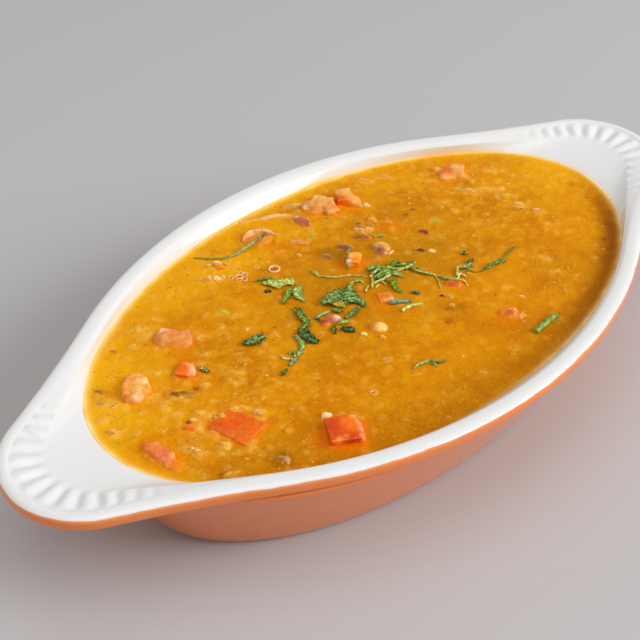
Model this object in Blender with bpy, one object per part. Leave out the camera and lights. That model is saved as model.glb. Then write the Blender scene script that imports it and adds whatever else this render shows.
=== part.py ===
"""Dal tadka in an oval gratin dish with two fluted ears.

The dish is one piece of glazed stoneware. Its rim outline is three arcs in each quarter: the
long side, a hollow waist and the round ear. The bowl inside and outside is an ellipse that
narrows downwards. The dal fills the bowl to a level just under the rim, and the pieces of
vegetable and the beans that break its surface are solids that sit in hollows of their own.

Metres, +Z up. The origin is at the middle of the flat base, +X runs along the dish.
"""

import math
import random

import bmesh
import bpy
from mathutils import Matrix, Vector

MM = 0.001

# The rim, seen from above.
LENGTH = 280.0 * MM
WIDTH = 142.8 * MM
SIDE_RADIUS = 155.0 * MM
WAIST_RADIUS = 480.0 * MM
EAR_RADIUS = 26.8 * MM

# Heights above the surface that the dish stands on.
HEIGHT = 45.0 * MM
DAL_LEVEL = 40.0 * MM
FLOOR = 6.0 * MM
WALL_TOP = 39.0 * MM
EAR_DROP = 4.5 * MM
CLING = 0.3 * MM
CLING_WIDTH = 2.0 * MM

# The bowl: half-axes inside at the level of the dal, and outside at the top of its wall.
INNER_AXES = (107.1 * MM, 62.2 * MM)
OUTER_AXES = (113.5 * MM, 68.4 * MM)
INNER_SLOPE = 0.445
OUTER_SLOPE = 0.50
INNER_CORNER = 9.0 * MM
OUTER_CORNER = 2.0 * MM
INNER_HEIGHTS = (FLOOR + INNER_CORNER, 10.0 * MM, 7.2 * MM, FLOOR)
OUTER_HEIGHTS = (0.0, 0.6 * MM, OUTER_CORNER)

# The flutes on each ear. Their pitch is the same all along a line this far in from the outline.
# They take up a share of the ear's surface, from the shoulder in, and fade out over the last part
# of their run round the ear.
FLUTE_PITCH = 5.1 * MM
FLUTE_LINE = 10.0 * MM
FLUTE_HEIGHT = 0.55 * MM
FLUTE_SHARE = 0.33
FLUTE_FADE = 0.45
EAR_SAG = 0.45

# Steps round a quarter of the rim: along the flutes, and from there to the middle of the side.
STEPS_PER_FLUTE = 4
FLUTE_STEPS = 30
SIDE_STEPS = 16

# The rim's section: distance in from the outline, and height.
RIM_SECTION = (
    (2.4 * MM, 39.9 * MM),
    (0.8 * MM, 40.2 * MM),
    (0.0 * MM, 41.6 * MM),
    (0.0 * MM, 43.6 * MM),
    (0.7 * MM, 44.7 * MM),
    (2.6 * MM, HEIGHT),
)

# The shoulder, where the rim turns down to the dal: its distance in from the outline along the
# sides and at the ears' tips, and its height.
SHOULDER_INSETS = (5.2 * MM, 3.6 * MM)
SHOULDER_HEIGHT = 44.6 * MM

# Room between pieces that touch.
GAP = 0.3 * MM

# The pieces that break the surface of the dal. Each has its kind, its middle (x, y), its length,
# width and depth, all in millimetres, the turn of its length from +X in degrees, and how far it
# stands above the dal in millimetres.
PIECES = {
    "carrot_front": ("carrot", (-52.6, -41.3), (10.0, 11.0, 9.0), -43, 2.4),
    "carrot_wedge": ("carrot", (-73.7, -17.5), (10.8, 13.6, 8.0), 14, 0.9),
    "carrot_back": ("carrot", (-8.2, 48.3), (13.0, 7.0, 7.0), -46, 1.6),
    "carrot_top": ("carrot", (30.5, 45.0), (7.0, 8.6, 8.0), -38, 3.0),
    "carrot_far": ("carrot", (71.2, 31.5), (11.0, 5.6, 5.0), -40, 1.0),
    "carrot_small": ("carrot", (-69.1, 11.3), (6.2, 6.4, 6.0), -50, 1.8),
    "carrot_middle": ("carrot", (6.6, 16.6), (5.2, 5.6, 7.0), -60, 2.6),
    "carrot_centre": ("carrot", (0.5, -4.8), (5.0, 5.4, 5.0), -30, 1.2),
    "tomato_long": ("tomato", (-97.2, -11.8), (17.5, 7.4, 6.0), -86, 1.8),
    "tomato_left": ("tomato", (-86.1, 15.1), (10.4, 13.0, 9.0), -43, 2.8),
    "tomato_pale": ("tomato", (-63.2, 26.2), (12.0, 8.8, 6.0), -48, 1.4),
    "tomato_top": ("tomato", (20.8, 48.2), (9.2, 9.2, 8.0), -34, 2.8),
    "tomato_right": ("tomato", (24.9, -38.6), (6.6, 5.6, 4.5), -43, 0.8),
    "tomato_centre": ("tomato", (23.0, -15.0), (7.0, 4.4, 4.0), -50, 0.7),
    "bean_red": ("bean", (9.5, 46.0), (9.4, 4.8, 4.5), -78, 1.3),
    "bean_brown": ("bean", (19.1, 15.1), (7.2, 6.0, 5.5), -60, 1.9),
    "bean_pink": ("bean", (-20.1, -1.2), (7.8, 5.8, 5.0), -36, 1.7),
    "chickpea": ("chickpea", (-11.3, -14.2), (6.2, 5.2, 5.0), -43, 1.5),
    "onion_strip": ("onion", (3.7, 55.4), (21.0, 2.6, 3.0), -27, 0.9),
}

# Colour and roughness of each material.
MATERIALS = {
    "white_glaze": ((0.86, 0.86, 0.85), 0.12),
    "terracotta_glaze": ((0.70, 0.22, 0.07), 0.15),
    "dal": ((0.66, 0.26, 0.010), 0.22),
    "carrot": ((0.78, 0.16, 0.010), 0.30),
    "tomato": ((0.78, 0.28, 0.09), 0.25),
    "bean": ((0.36, 0.12, 0.06), 0.30),
    "chickpea": ((0.85, 0.55, 0.18), 0.30),
    "onion": ((0.88, 0.55, 0.15), 0.25),
}


def clear_scene():
    for obj in list(bpy.data.objects):
        bpy.data.objects.remove(obj)


def new_collection(name):
    collection = bpy.data.collections.new(name)
    bpy.context.scene.collection.children.link(collection)
    return collection


def material(name):
    """The Principled material of this name, made the first time that it is asked for."""
    found = bpy.data.materials.get(name)
    if found:
        return found
    colour, roughness = MATERIALS[name]
    made = bpy.data.materials.new(name)
    made.use_nodes = True
    made.diffuse_color = (*colour, 1.0)
    shader = made.node_tree.nodes["Principled BSDF"]
    shader.inputs["Base Color"].default_value = (*colour, 1.0)
    shader.inputs["Roughness"].default_value = roughness
    shader.inputs["Metallic"].default_value = 0.0
    return made


def new_object(name, bm, collection, *materials):
    """An object of this mesh, closed, with its faces pointing out."""
    bmesh.ops.recalc_face_normals(bm, faces=bm.faces)
    mesh = bpy.data.meshes.new(name)
    bm.to_mesh(mesh)
    bm.free()
    for each in materials:
        mesh.materials.append(material(each))
    obj = bpy.data.objects.new(name, mesh)
    collection.objects.link(obj)
    return obj


# The rim's outline.


def outline_arcs():
    """The three arcs of a quarter, from the ear's tip to the middle of the side: centre, radius,
    and the angle of the outward normal where it starts and ends. The waist is hollow, so its
    radius is negative."""
    side = Vector((0.0, WIDTH / 2 - SIDE_RADIUS))
    ear = Vector((LENGTH / 2 - EAR_RADIUS, 0.0))
    to_side = SIDE_RADIUS + WAIST_RADIUS
    to_ear = EAR_RADIUS + WAIST_RADIUS
    apart = (ear - side).length
    along = (to_side**2 - to_ear**2 + apart**2) / (2 * apart)
    across = math.sqrt(to_side**2 - along**2)
    ahead = (ear - side) / apart
    waist = side + ahead * along + Vector((-ahead.y, ahead.x)) * across
    ear_angle = math.atan2((waist - ear).y, (waist - ear).x)
    side_angle = math.atan2((waist - side).y, (waist - side).x)
    return (
        (ear, EAR_RADIUS, 0.0, ear_angle),
        (waist, -WAIST_RADIUS, ear_angle, side_angle),
        (side, SIDE_RADIUS, side_angle, math.pi / 2),
    )


def arc_run(radius, start, end):
    """Length of an arc, measured along the line FLUTE_LINE in from the outline."""
    return abs((end - start) * (radius - FLUTE_LINE))


def outline_point(run):
    """(point, outward normal) of a quarter of the outline, this far from the ear's tip."""
    for centre, radius, start, end in outline_arcs():
        length = arc_run(radius, start, end)
        share = min(run / length, 1.0)
        if share < 1.0:
            break
        run -= length
    angle = start + (end - start) * share
    normal = Vector((math.cos(angle), math.sin(angle)))
    return centre + normal * radius, normal


def stations():
    """All round the rim, anticlockwise from the ear on +X: (point, outward normal, run). They are
    close together along the flutes and wide apart along the sides."""
    step = FLUTE_PITCH / STEPS_PER_FLUTE
    runs = [step * index for index in range(FLUTE_STEPS + 1)]
    whole = sum(arc_run(*arc[1:]) for arc in outline_arcs())
    side_step = (whole - runs[-1]) / SIDE_STEPS
    runs += [runs[-1] + side_step * index for index in range(1, SIDE_STEPS + 1)]
    quarter = [(*outline_point(run), run) for run in runs]
    around = []
    for sign_x, sign_y, order in ((1, 1, 1), (-1, 1, -1), (-1, -1, 1), (1, -1, -1)):
        for point, normal, run in quarter[::order][:-1]:
            flip = Vector((sign_x, sign_y))
            around.append((point * flip, normal * flip, run))
    return around


# The bowl.


def narrowing(height, top, bottom, slope, corner):
    """How far the wall has come in at this height: a straight slope, then a rounded corner."""
    drawn_in = (top - height) * slope
    below = bottom + corner - height
    if below > 0.0:
        drawn_in += corner - math.sqrt(max(corner**2 - below**2, 0.0))
    return drawn_in


def bowl_point(rim_point, axes, drawn_in):
    """The point of the bowl's ellipse, drawn in by this much, that belongs to a rim point."""
    angle = math.atan2(rim_point.y / INNER_AXES[1], rim_point.x / INNER_AXES[0])
    return Vector(((axes[0] - drawn_in) * math.cos(angle), (axes[1] - drawn_in) * math.sin(angle)))


def inner_ring(around, height, inset=0.0):
    drawn_in = narrowing(height, DAL_LEVEL, FLOOR, INNER_SLOPE, INNER_CORNER) + inset
    return [(*bowl_point(point, INNER_AXES, drawn_in), height) for point, _, _ in around]


def outer_point(rim_point, height):
    drawn_in = narrowing(height, WALL_TOP, 0.0, OUTER_SLOPE, OUTER_CORNER)
    return (*bowl_point(rim_point, OUTER_AXES, drawn_in), height)


# The dish.


def rim_ring(around, inset, height):
    return [(*(point - normal * inset), height) for point, normal, _ in around]


def ear_share(rim_point):
    """0 along the sides, 1 at the tip of an ear, from the room between the outline and the dal."""
    room = (rim_point - bowl_point(rim_point, INNER_AXES, 0.0)).length
    side_room = WIDTH / 2 - INNER_AXES[1]
    tip_room = LENGTH / 2 - INNER_AXES[0]
    return (room - side_room) / (tip_room - side_room)


def shoulder_point(rim_point, normal):
    side_inset, tip_inset = SHOULDER_INSETS
    share = ear_share(rim_point)
    return rim_point - normal * (side_inset + (tip_inset - side_inset) * share)


def shoulder_ring(around):
    return [(*shoulder_point(point, normal), SHOULDER_HEIGHT) for point, normal, _ in around]


def ear_reach(rim_point, normal):
    """From the shoulder to the edge of the dal: long on the ears, short on the sides."""
    edge = bowl_point(rim_point, INNER_AXES, 0.0)
    return (shoulder_point(rim_point, normal) - edge).length


def surface_height(share):
    """Height of the ear's surface this share of the way from the shoulder to the dal."""
    sunk = share + EAR_SAG * (share**2 - share)
    return SHOULDER_HEIGHT - (SHOULDER_HEIGHT - DAL_LEVEL) * sunk


def flute(run):
    """Height of the flutes above or below the ear's surface, fading out along the waist."""
    full = FLUTE_STEPS / STEPS_PER_FLUTE * FLUTE_PITCH
    fade = min(1.0, max(0.0, (full - run) / (FLUTE_FADE * full)))
    return FLUTE_HEIGHT * fade * math.cos(2 * math.pi * run / FLUTE_PITCH)


def fluted_point(rim_point, normal, share):
    """This share of the way along the flutes, which run in from the shoulder."""
    length = FLUTE_SHARE * ear_reach(rim_point, normal)
    return shoulder_point(rim_point, normal) - normal * length * share


def fluted_ring(around, share, strength):
    ring = []
    for point, normal, run in around:
        height = surface_height(FLUTE_SHARE * share) + flute(run) * strength
        ring.append((*fluted_point(point, normal, share), height))
    return ring


def ear_ring(around, share):
    """A ring this share of the way from the end of the flutes to the edge of the dal."""
    ring = []
    height = surface_height(FLUTE_SHARE + (1.0 - FLUTE_SHARE) * share)
    for point, normal, _ in around:
        place = fluted_point(point, normal, 1.0).lerp(bowl_point(point, INNER_AXES, 0.0), share)
        ring.append((*place, height))
    return ring


def underside_rings(around):
    """Where the bowl's wall turns out under the rim, and halfway from there to the rim's lip."""
    wall_top = [outer_point(point, WALL_TOP - EAR_DROP * ear_share(point)) for point, _, _ in around]
    lip = rim_ring(around, *RIM_SECTION[0])
    halfway = [Vector(top).lerp(Vector(end), 0.5) for top, end in zip(wall_top, lip)]
    return [wall_top, halfway]


def add_ring(bm, ring):
    return [bm.verts.new(place) for place in ring]


def bridge(bm, first, second, slot=0):
    """Faces between two rings. A ring may have twice the points of the other."""
    if len(first) > len(second):
        first, second = second, first
    times = len(second) // len(first)
    for index in range(len(first)):
        following = (index + 1) % len(first)
        far = [second[(index * times + step) % len(second)] for step in range(times, -1, -1)]
        face = bm.faces.new([first[index], first[following], *far])
        face.material_index = slot


def make_dish(collection):
    """Stoneware, white inside and over the rim, terracotta outside."""
    fine = stations()
    coarse = fine[::2]
    bm = bmesh.new()
    outside = [[outer_point(point, height) for point, _, _ in coarse] for height in OUTER_HEIGHTS]
    outside += underside_rings(coarse)
    outside += [rim_ring(coarse, inset, height) for inset, height in RIM_SECTION]
    rings = [add_ring(bm, ring) for ring in outside]
    white_from = len(rings) - 2
    bm.faces.new(rings[0]).material_index = 1

    inside = [shoulder_ring(fine)]
    for share, strength in ((0.2, 0.7), (0.5, 1.0), (0.8, 0.8), (1.0, 0.2)):
        inside.append(fluted_ring(fine, share, strength))
    inside.append(ear_ring(fine, 0.2))
    inside += [ear_ring(coarse, share) for share in (0.45, 0.72, 1.0)]
    inside += [inner_ring(coarse, height) for height in INNER_HEIGHTS]
    rings += [add_ring(bm, ring) for ring in inside]
    for index in range(len(rings) - 1):
        bridge(bm, rings[index], rings[index + 1], slot=1 if index < white_from else 0)
    bm.faces.new(rings[-1])
    dish = new_object("dish", bm, collection, "white_glaze", "terracotta_glaze")
    dish.data.shade_smooth()
    dish.data.set_sharp_from_angle(angle=math.radians(40))
    return dish


# The dal.


def dal_stations():
    """Every second station along the sides, as in the bowl, and every fourth at the ears."""
    ear_run = FLUTE_STEPS / STEPS_PER_FLUTE * FLUTE_PITCH
    coarse = stations()[::2]
    return [place for index, place in enumerate(coarse) if index % 2 == 0 or place[2] > ear_run]


def make_dal(collection):
    """The dal fills the bowl, clings a little to its wall, and keeps GAP to it."""
    around = dal_stations()
    level = [(x, y, DAL_LEVEL) for x, y, _ in inner_ring(around, DAL_LEVEL, GAP + CLING_WIDTH)]
    edge = [(x, y, z + CLING) for x, y, z in inner_ring(around, DAL_LEVEL, GAP)]
    places = [level, edge]
    for height in INNER_HEIGHTS:
        places.append([(x, y, z + GAP) for x, y, z in inner_ring(around, height, GAP)])
    bm = bmesh.new()
    rings = [add_ring(bm, ring) for ring in places]
    for first, second in zip(rings, rings[1:]):
        bridge(bm, first, second)
    bm.faces.new(rings[0])
    bm.faces.new(rings[-1])
    dal = new_object("dal", bm, collection, "dal")
    dal.data.shade_smooth()
    dal.data.set_sharp_from_angle(angle=math.radians(35))
    return dal


# The pieces in the dal.


def diced_mesh(size, seed, grow):
    """A hand-cut dice: a box whose corners are a little off and whose edges are rounded."""
    random_places = random.Random(seed)
    bm = bmesh.new()
    bmesh.ops.create_cube(bm, size=1.0)
    for vert in bm.verts:
        cut = Vector([random_places.uniform(-0.09, 0.09) for _ in range(3)])
        cut.z *= 0.4
        vert.co = Vector([(co + off) * side for co, off, side in zip(vert.co, cut, size)])
        vert.co += Vector([math.copysign(grow, co) for co in vert.co])
    rounding = 0.16 * min(size)
    bmesh.ops.bevel(
        bm, geom=bm.edges[:], offset=rounding, segments=2, profile=0.5, affect="EDGES", clamp_overlap=True
    )
    return bm


def lump_mesh(size, seed, grow):
    """A soft cooked lump: a ball pressed long and flat, with a few dents."""
    random_places = random.Random(seed)
    bm = bmesh.new()
    bmesh.ops.create_icosphere(bm, subdivisions=2, radius=0.5)
    dents = [Vector([random_places.uniform(-1, 1) for _ in range(3)]).normalized() for _ in range(4)]
    for vert in bm.verts:
        ray = vert.co.normalized()
        depth = sum(max(0.0, ray.dot(dent) - 0.55) for dent in dents)
        reach = 1.0 - 0.35 * depth
        vert.co = Vector([co * reach * side for co, side in zip(vert.co, size)])
        vert.co += ray * grow
    return bm


def piece_mesh(name, grow=0.0):
    """The mesh of one piece in its place, larger by grow all round."""
    kind, middle, size, turn, stands = PIECES[name]
    seed = sum(map(ord, name))
    build = diced_mesh if kind == "carrot" else lump_mesh
    bm = build([side * MM for side in size], seed, grow)
    bmesh.ops.rotate(bm, verts=bm.verts, matrix=Matrix.Rotation(math.radians(turn), 3, "Z"))
    top = max(vert.co.z for vert in bm.verts) - grow
    place = Vector((middle[0] * MM, middle[1] * MM, DAL_LEVEL + stands * MM - top))
    bmesh.ops.translate(bm, verts=bm.verts, vec=place)
    return bm


def make_pieces(collection, cutters, dal):
    """Each piece is a solid of its own, and the dal is cut round it."""
    for name, piece in PIECES.items():
        obj = new_object(name, piece_mesh(name), collection, piece[0])
        obj.data.shade_smooth()
        cutter = new_object("hollow_" + name, piece_mesh(name, GAP), cutters)
        cutter.hide_render = True
        cutter.display_type = "WIRE"
        cut = dal.modifiers.new("round_" + name, "BOOLEAN")
        cut.operation = "DIFFERENCE"
        cut.object = cutter


def main():
    clear_scene()
    parts = new_collection("dal_tadka")
    cutters = new_collection("cutters")
    make_dish(parts)
    dal = make_dal(parts)
    make_pieces(parts, cutters, dal)


main()
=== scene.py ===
import math

import bmesh
import bpy
import numpy as np
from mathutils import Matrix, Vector, noise
from mathutils.bvhtree import BVHTree


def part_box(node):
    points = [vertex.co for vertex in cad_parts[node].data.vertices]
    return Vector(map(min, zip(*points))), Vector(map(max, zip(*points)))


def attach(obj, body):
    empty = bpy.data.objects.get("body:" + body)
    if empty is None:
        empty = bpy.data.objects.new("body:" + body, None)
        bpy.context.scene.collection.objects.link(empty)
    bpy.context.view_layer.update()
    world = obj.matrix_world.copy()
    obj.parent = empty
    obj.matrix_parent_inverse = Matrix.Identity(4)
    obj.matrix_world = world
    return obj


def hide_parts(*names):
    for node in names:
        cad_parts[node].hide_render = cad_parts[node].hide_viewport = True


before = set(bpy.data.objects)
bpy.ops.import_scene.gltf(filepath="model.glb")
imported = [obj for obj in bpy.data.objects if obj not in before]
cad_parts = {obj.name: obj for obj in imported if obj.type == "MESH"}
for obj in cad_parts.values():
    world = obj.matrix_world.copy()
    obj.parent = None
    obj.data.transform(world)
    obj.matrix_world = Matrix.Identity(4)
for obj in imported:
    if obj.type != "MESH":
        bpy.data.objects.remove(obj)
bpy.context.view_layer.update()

# The camera stands beyond the near ear and looks down along the dish, low enough to show the
# outside of its near wall.
MM = 0.001
eye = Vector((-243.5, -234.2, 308.7)) * MM
aim = Vector((-26.4, -2.65, 45.0)) * MM
bpy.ops.object.camera_add(location=eye, rotation=(aim - eye).to_track_quat("-Z", "Y").to_euler())
camera = bpy.context.object
camera.data.lens = 73.125
camera.data.sensor_width = 36
bpy.context.scene.camera = camera
bpy.context.scene.view_settings.view_transform = "Standard"


# The dish is one piece of stoneware, pressed in a mould, then glazed white inside and over the
# rim and terracotta outside. A quarter of its outline is three arcs: the round ear, a hollow
# waist and the long side. The flutes are pressed into the ears.
_, dish_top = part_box("dish")
HALF_LENGTH, HALF_WIDTH, _ = dish_top
SIDE_RADIUS = 155.0 * MM
WAIST_RADIUS = 480.0 * MM
EAR_RADIUS = 26.8 * MM
FLOOR = 6.0 * MM
WALL_TOP = 39.0 * MM
EAR_DROP = 4.5 * MM
DAL_LEVEL = 40.0 * MM
_, dal_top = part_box("dal")
DAL_AXES = (dal_top.x + 0.3 * MM, dal_top.y + 0.3 * MM)
INNER_AXES = (107.1 * MM, 62.2 * MM)
OUTER_AXES = (113.5 * MM, 68.4 * MM)
INNER_SLOPE, INNER_CORNER = 0.445, 9.0 * MM
OUTER_SLOPE, OUTER_CORNER = 0.50, 2.0 * MM
FLUTE_PITCH = 5.1 * MM
FLUTE_LINE = 10.0 * MM
FLUTE_HEIGHT = 0.55 * MM
FLUTE_SHARE, FLUTE_FADE, EAR_SAG = 0.33, 0.45, 0.45
FLUTE_RUN = 7.5 * FLUTE_PITCH
SHOULDER_HEIGHT = 44.6 * MM


def outline_arcs():
    """Centre, radius and the angle of the normal at both ends, from the ear's tip to the side."""
    side = Vector((0.0, HALF_WIDTH - SIDE_RADIUS))
    ear = Vector((HALF_LENGTH - EAR_RADIUS, 0.0))
    to_side, to_ear = SIDE_RADIUS + WAIST_RADIUS, EAR_RADIUS + WAIST_RADIUS
    apart = (ear - side).length
    along = (to_side**2 - to_ear**2 + apart**2) / (2 * apart)
    across = math.sqrt(to_side**2 - along**2)
    ahead = (ear - side) / apart
    waist = side + ahead * along + Vector((-ahead.y, ahead.x)) * across
    ear_angle = math.atan2(waist.y - ear.y, waist.x - ear.x)
    side_angle = math.atan2(waist.y - side.y, waist.x - side.x)
    return (
        (ear, EAR_RADIUS, 0.0, ear_angle),
        (waist, -WAIST_RADIUS, ear_angle, side_angle),
        (side, SIDE_RADIUS, side_angle, math.pi / 2),
    )


def arc_run(radius, start, end):
    return abs((end - start) * (radius - FLUTE_LINE))


def outline_point(run):
    """(x, y, normal x, normal y, run) of the outline, this far from the ear's tip."""
    left = run
    for centre, radius, start, end in outline_arcs():
        length = arc_run(radius, start, end)
        share = min(left / length, 1.0)
        if share < 1.0:
            break
        left -= length
    angle = start + (end - start) * share
    normal = Vector((math.cos(angle), math.sin(angle)))
    return (*(centre + normal * radius), *normal, run)


def rim_stations():
    """All round the rim: its points, its outward normals, and their run from the nearer ear."""
    whole = sum(arc_run(*arc[1:]) for arc in outline_arcs())
    runs = [*np.linspace(0.0, FLUTE_RUN, 46), *np.linspace(FLUTE_RUN, whole, 17)[1:]]
    quarter = np.array([outline_point(run) for run in runs])
    sides = []
    for sign_x, sign_y, order in ((1, 1, 1), (-1, 1, -1), (-1, -1, 1), (1, -1, -1)):
        sides.append(quarter[::order][:-1] * (sign_x, sign_y, sign_x, sign_y, 1))
    around = np.concatenate(sides)
    return around[:, :2], around[:, 2:4], around[:, 4]


rim, outward, rim_run = rim_stations()
rim_angle = np.arctan2(rim[:, 1] / INNER_AXES[1], rim[:, 0] / INNER_AXES[0])


def bowl_line(axes, drawn_in=0.0):
    """The bowl's ellipse, drawn in by this much, with one point for each station of the rim."""
    return np.stack(((axes[0] - drawn_in) * np.cos(rim_angle), (axes[1] - drawn_in) * np.sin(rim_angle)), 1)


def narrowing(height, top, bottom, slope, corner):
    """How far the wall has come in at this height: a straight slope, then a rounded corner."""
    below = max(bottom + corner - height, 0.0)
    return (top - height) * slope + corner - math.sqrt(max(corner**2 - below**2, 0.0))


room = np.linalg.norm(rim - bowl_line(INNER_AXES), axis=1)
ear_share = (room - room.min()) / (room.max() - room.min())
shoulder = rim - outward * ((5.2 - 1.6 * ear_share) * MM)[:, None]
reach = np.linalg.norm(shoulder - bowl_line(INNER_AXES), axis=1)
flute_end = shoulder - outward * (FLUTE_SHARE * reach)[:, None]
flute_wave = (1.0 - np.cos(2 * np.pi * rim_run / FLUTE_PITCH)) / 2
flute_relief = 1.0 - 2.0 * flute_wave**1.35
flute_relief *= FLUTE_HEIGHT * np.clip((FLUTE_RUN - rim_run) / (FLUTE_FADE * FLUTE_RUN), 0.0, 1.0)


def ring(line, height):
    return np.column_stack((line, np.broadcast_to(height, len(line))))


def outer_ring(height):
    return ring(bowl_line(OUTER_AXES, narrowing(height, WALL_TOP, 0.0, OUTER_SLOPE, OUTER_CORNER)), height)


def ear_height(share):
    return SHOULDER_HEIGHT - (SHOULDER_HEIGHT - DAL_LEVEL) * (share + EAR_SAG * (share**2 - share))


def fluted_ring(share, strength):
    line = shoulder + (flute_end - shoulder) * share
    return ring(line, ear_height(FLUTE_SHARE * share) + flute_relief * strength)


def ear_ring(share):
    line = flute_end + (bowl_line(INNER_AXES) - flute_end) * share
    return ring(line, ear_height(FLUTE_SHARE + (1.0 - FLUTE_SHARE) * share))


# The rings from the foot up, in millimetres: how far each is inside and its height. Those of the
# rim have their distance from the line where the glazes meet, too.
FOOT = ((9.0, 0.8), (6.0, 0.8), (5.2, 0.5), (4.6, 0.0), (0.6, 0.0))
WALL_HEIGHTS = (0.3, 0.9, 2.0, 8.0, 15.0, 22.0, 28.0, 32.0)
RIM = (
    (1.5, 39.95, 5.0), (0.8, 40.2, 4.4), (0.25, 40.8, 3.6), (0.0, 41.6, 2.8), (0.0, 42.6, 1.8),
    (0.0, 43.5, 0.9), (0.15, 44.1, 0.3), (0.6, 44.6, -0.35), (1.4, 44.9, -1.2), (2.6, 45.0, -2.4),
)
BOWL_HEIGHTS = (38.0, 34.0, 28.0, 21.0, 15.0, 11.0, 8.2, 6.6, 6.0)
# Rings by their share of the way: out under the rim, down the flutes and down the ear. Those of
# the flutes have how strongly they are fluted, too.
UNDER_RIM = (0.0, 0.12, 0.35, 0.7, 1.0)
FLUTES = (
    (0.07, 0.3), (0.16, 0.72), (0.3, 0.96), (0.46, 1.0), (0.62, 1.0), (0.76, 0.88), (0.88, 0.55),
    (1.0, 0.16),
)
DOWN_EAR = (0.1, 0.22, 0.36, 0.5, 0.64, 0.78, 0.9, 1.0)
# Distances from the glazes' line: well outside it, just outside it and well inside it.
FAR_OUTSIDE, OUTSIDE, FAR_INSIDE = 9.0, 7.0, -9.0


def dish_rings():
    """Every ring from the foot up, over the rim and down inside, each with its distance from the
    line where the glazes meet, outside it more than nothing."""
    rings = []
    foot = narrowing(0.0, WALL_TOP, 0.0, OUTER_SLOPE, OUTER_CORNER)
    for inset, height in FOOT:
        rings.append((ring(bowl_line(OUTER_AXES, foot + inset * MM), height * MM), FAR_OUTSIDE))
    for height in WALL_HEIGHTS:
        rings.append((outer_ring(height * MM), FAR_OUTSIDE))
    wall_line = bowl_line(OUTER_AXES, narrowing(34.5 * MM, WALL_TOP, 0.0, OUTER_SLOPE, OUTER_CORNER))
    top_line = bowl_line(OUTER_AXES)
    turn = ring(top_line + (wall_line - top_line) * ear_share[:, None], WALL_TOP - EAR_DROP * ear_share)
    lip = ring(rim - outward * 2.4 * MM, 39.9 * MM)
    for share in UNDER_RIM:
        rings.append((turn + (lip - turn) * share, OUTSIDE))
    for inset, height, beyond in RIM:
        rings.append((ring(rim - outward * inset * MM, height * MM), beyond))
    before = rim - outward * ((4.3 - 1.0 * ear_share) * MM)[:, None]
    rings.append((ring(before, 44.85 * MM), -4.0))
    rings.append((ring(shoulder, SHOULDER_HEIGHT), -5.0))
    for share, strength in FLUTES:
        rings.append((fluted_ring(share, strength), FAR_INSIDE))
    for share in DOWN_EAR:
        rings.append((ear_ring(share), FAR_INSIDE))
    for height in BOWL_HEIGHTS:
        drawn_in = narrowing(height * MM, DAL_LEVEL, FLOOR, INNER_SLOPE, INNER_CORNER)
        rings.append((ring(bowl_line(INNER_AXES, drawn_in), height * MM), FAR_INSIDE))
    return rings


def place_ring(mesh, places, beyond):
    """Puts the ring that is selected in its place, point by point, in the order of the rim."""
    bm = bmesh.from_edit_mesh(mesh)
    station = bm.verts.layers.int["station"]
    glaze = bm.verts.layers.float["glaze"]
    for vert in bm.verts:
        if vert.select:
            vert.co = places[vert[station]]
            vert[glaze] = beyond
    bmesh.update_edit_mesh(mesh)


def apply_modifier(piece, kind, **settings):
    """Adds a modifier with these settings and applies it."""
    modifier = piece.modifiers.new(kind.lower(), kind)
    for name, value in settings.items():
        setattr(modifier, name, value)
    with bpy.context.temp_override(object=piece, active_object=piece, selected_objects=[piece]):
        bpy.ops.object.modifier_apply(modifier=modifier.name)


def make_dish():
    """A round plate, drawn up ring by ring, which keeps its last face as the floor of the bowl."""
    rings = dish_rings()
    bpy.ops.object.select_all(action="DESELECT")
    bpy.ops.mesh.primitive_circle_add(vertices=len(rim), radius=0.05, fill_type="NGON")
    piece = bpy.context.object
    mesh = piece.data
    mesh.attributes.new("station", "INT", "POINT").data.foreach_set("value", np.arange(len(rim)))
    mesh.attributes.new("glaze", "FLOAT", "POINT")
    bpy.ops.object.mode_set(mode="EDIT")
    bpy.ops.mesh.select_all(action="SELECT")
    place_ring(mesh, *rings[0])
    for places, beyond in rings[1:]:
        bpy.ops.mesh.extrude_region_move()
        place_ring(mesh, places, beyond)
    bpy.ops.mesh.select_face_by_sides(number=4, type="GREATER", extend=False)
    bpy.ops.mesh.delete(type="ONLY_FACE")
    bpy.ops.object.mode_set(mode="OBJECT")
    apply_modifier(piece, "SUBSURF", levels=1, render_levels=1)
    bpy.ops.object.mode_set(mode="EDIT")
    bpy.ops.mesh.select_all(action="SELECT")
    bpy.ops.mesh.fill_holes(sides=0)
    bpy.ops.mesh.normals_make_consistent(inside=False)
    bpy.ops.object.mode_set(mode="OBJECT")
    bpy.ops.object.shade_smooth()
    return piece


def add_node(tree, kind, inputs=None, **settings):
    """A node with these settings. An input is a constant or another node's output."""
    node = tree.nodes.new(kind)
    for name, value in settings.items():
        setattr(node, name, value)
    for name, value in (inputs or {}).items():
        if isinstance(value, bpy.types.NodeSocket):
            tree.links.new(value, node.inputs[name])
        else:
            node.inputs[name].default_value = value
    return node


def chart(red, green, blue):
    """A colour of the paint chart, 0 to 255, as the shader takes it."""
    paints = (red, green, blue)
    shares = (((paint / 255 + 0.055) / 1.055) ** 2.4 if paint > 10 else paint / 3295 for paint in paints)
    return (*shares, 1.0)


def blend(tree, share, under, over, way="MIX"):
    inputs = {0: share, 6: under, 7: over}
    return add_node(tree, "ShaderNodeMix", inputs, data_type="RGBA", blend_type=way).outputs[2]


def ramp(tree, value, start, end, low=0.0, high=1.0):
    """A smooth step of the value from low at start to high at end."""
    inputs = {"Value": value, "From Min": start, "From Max": end, "To Min": low, "To Max": high}
    return add_node(tree, "ShaderNodeMapRange", inputs, interpolation_type="SMOOTHSTEP").outputs[0]


def sums(tree, operation, *values):
    return add_node(tree, "ShaderNodeMath", dict(enumerate(values)), operation=operation).outputs[0]


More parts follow.
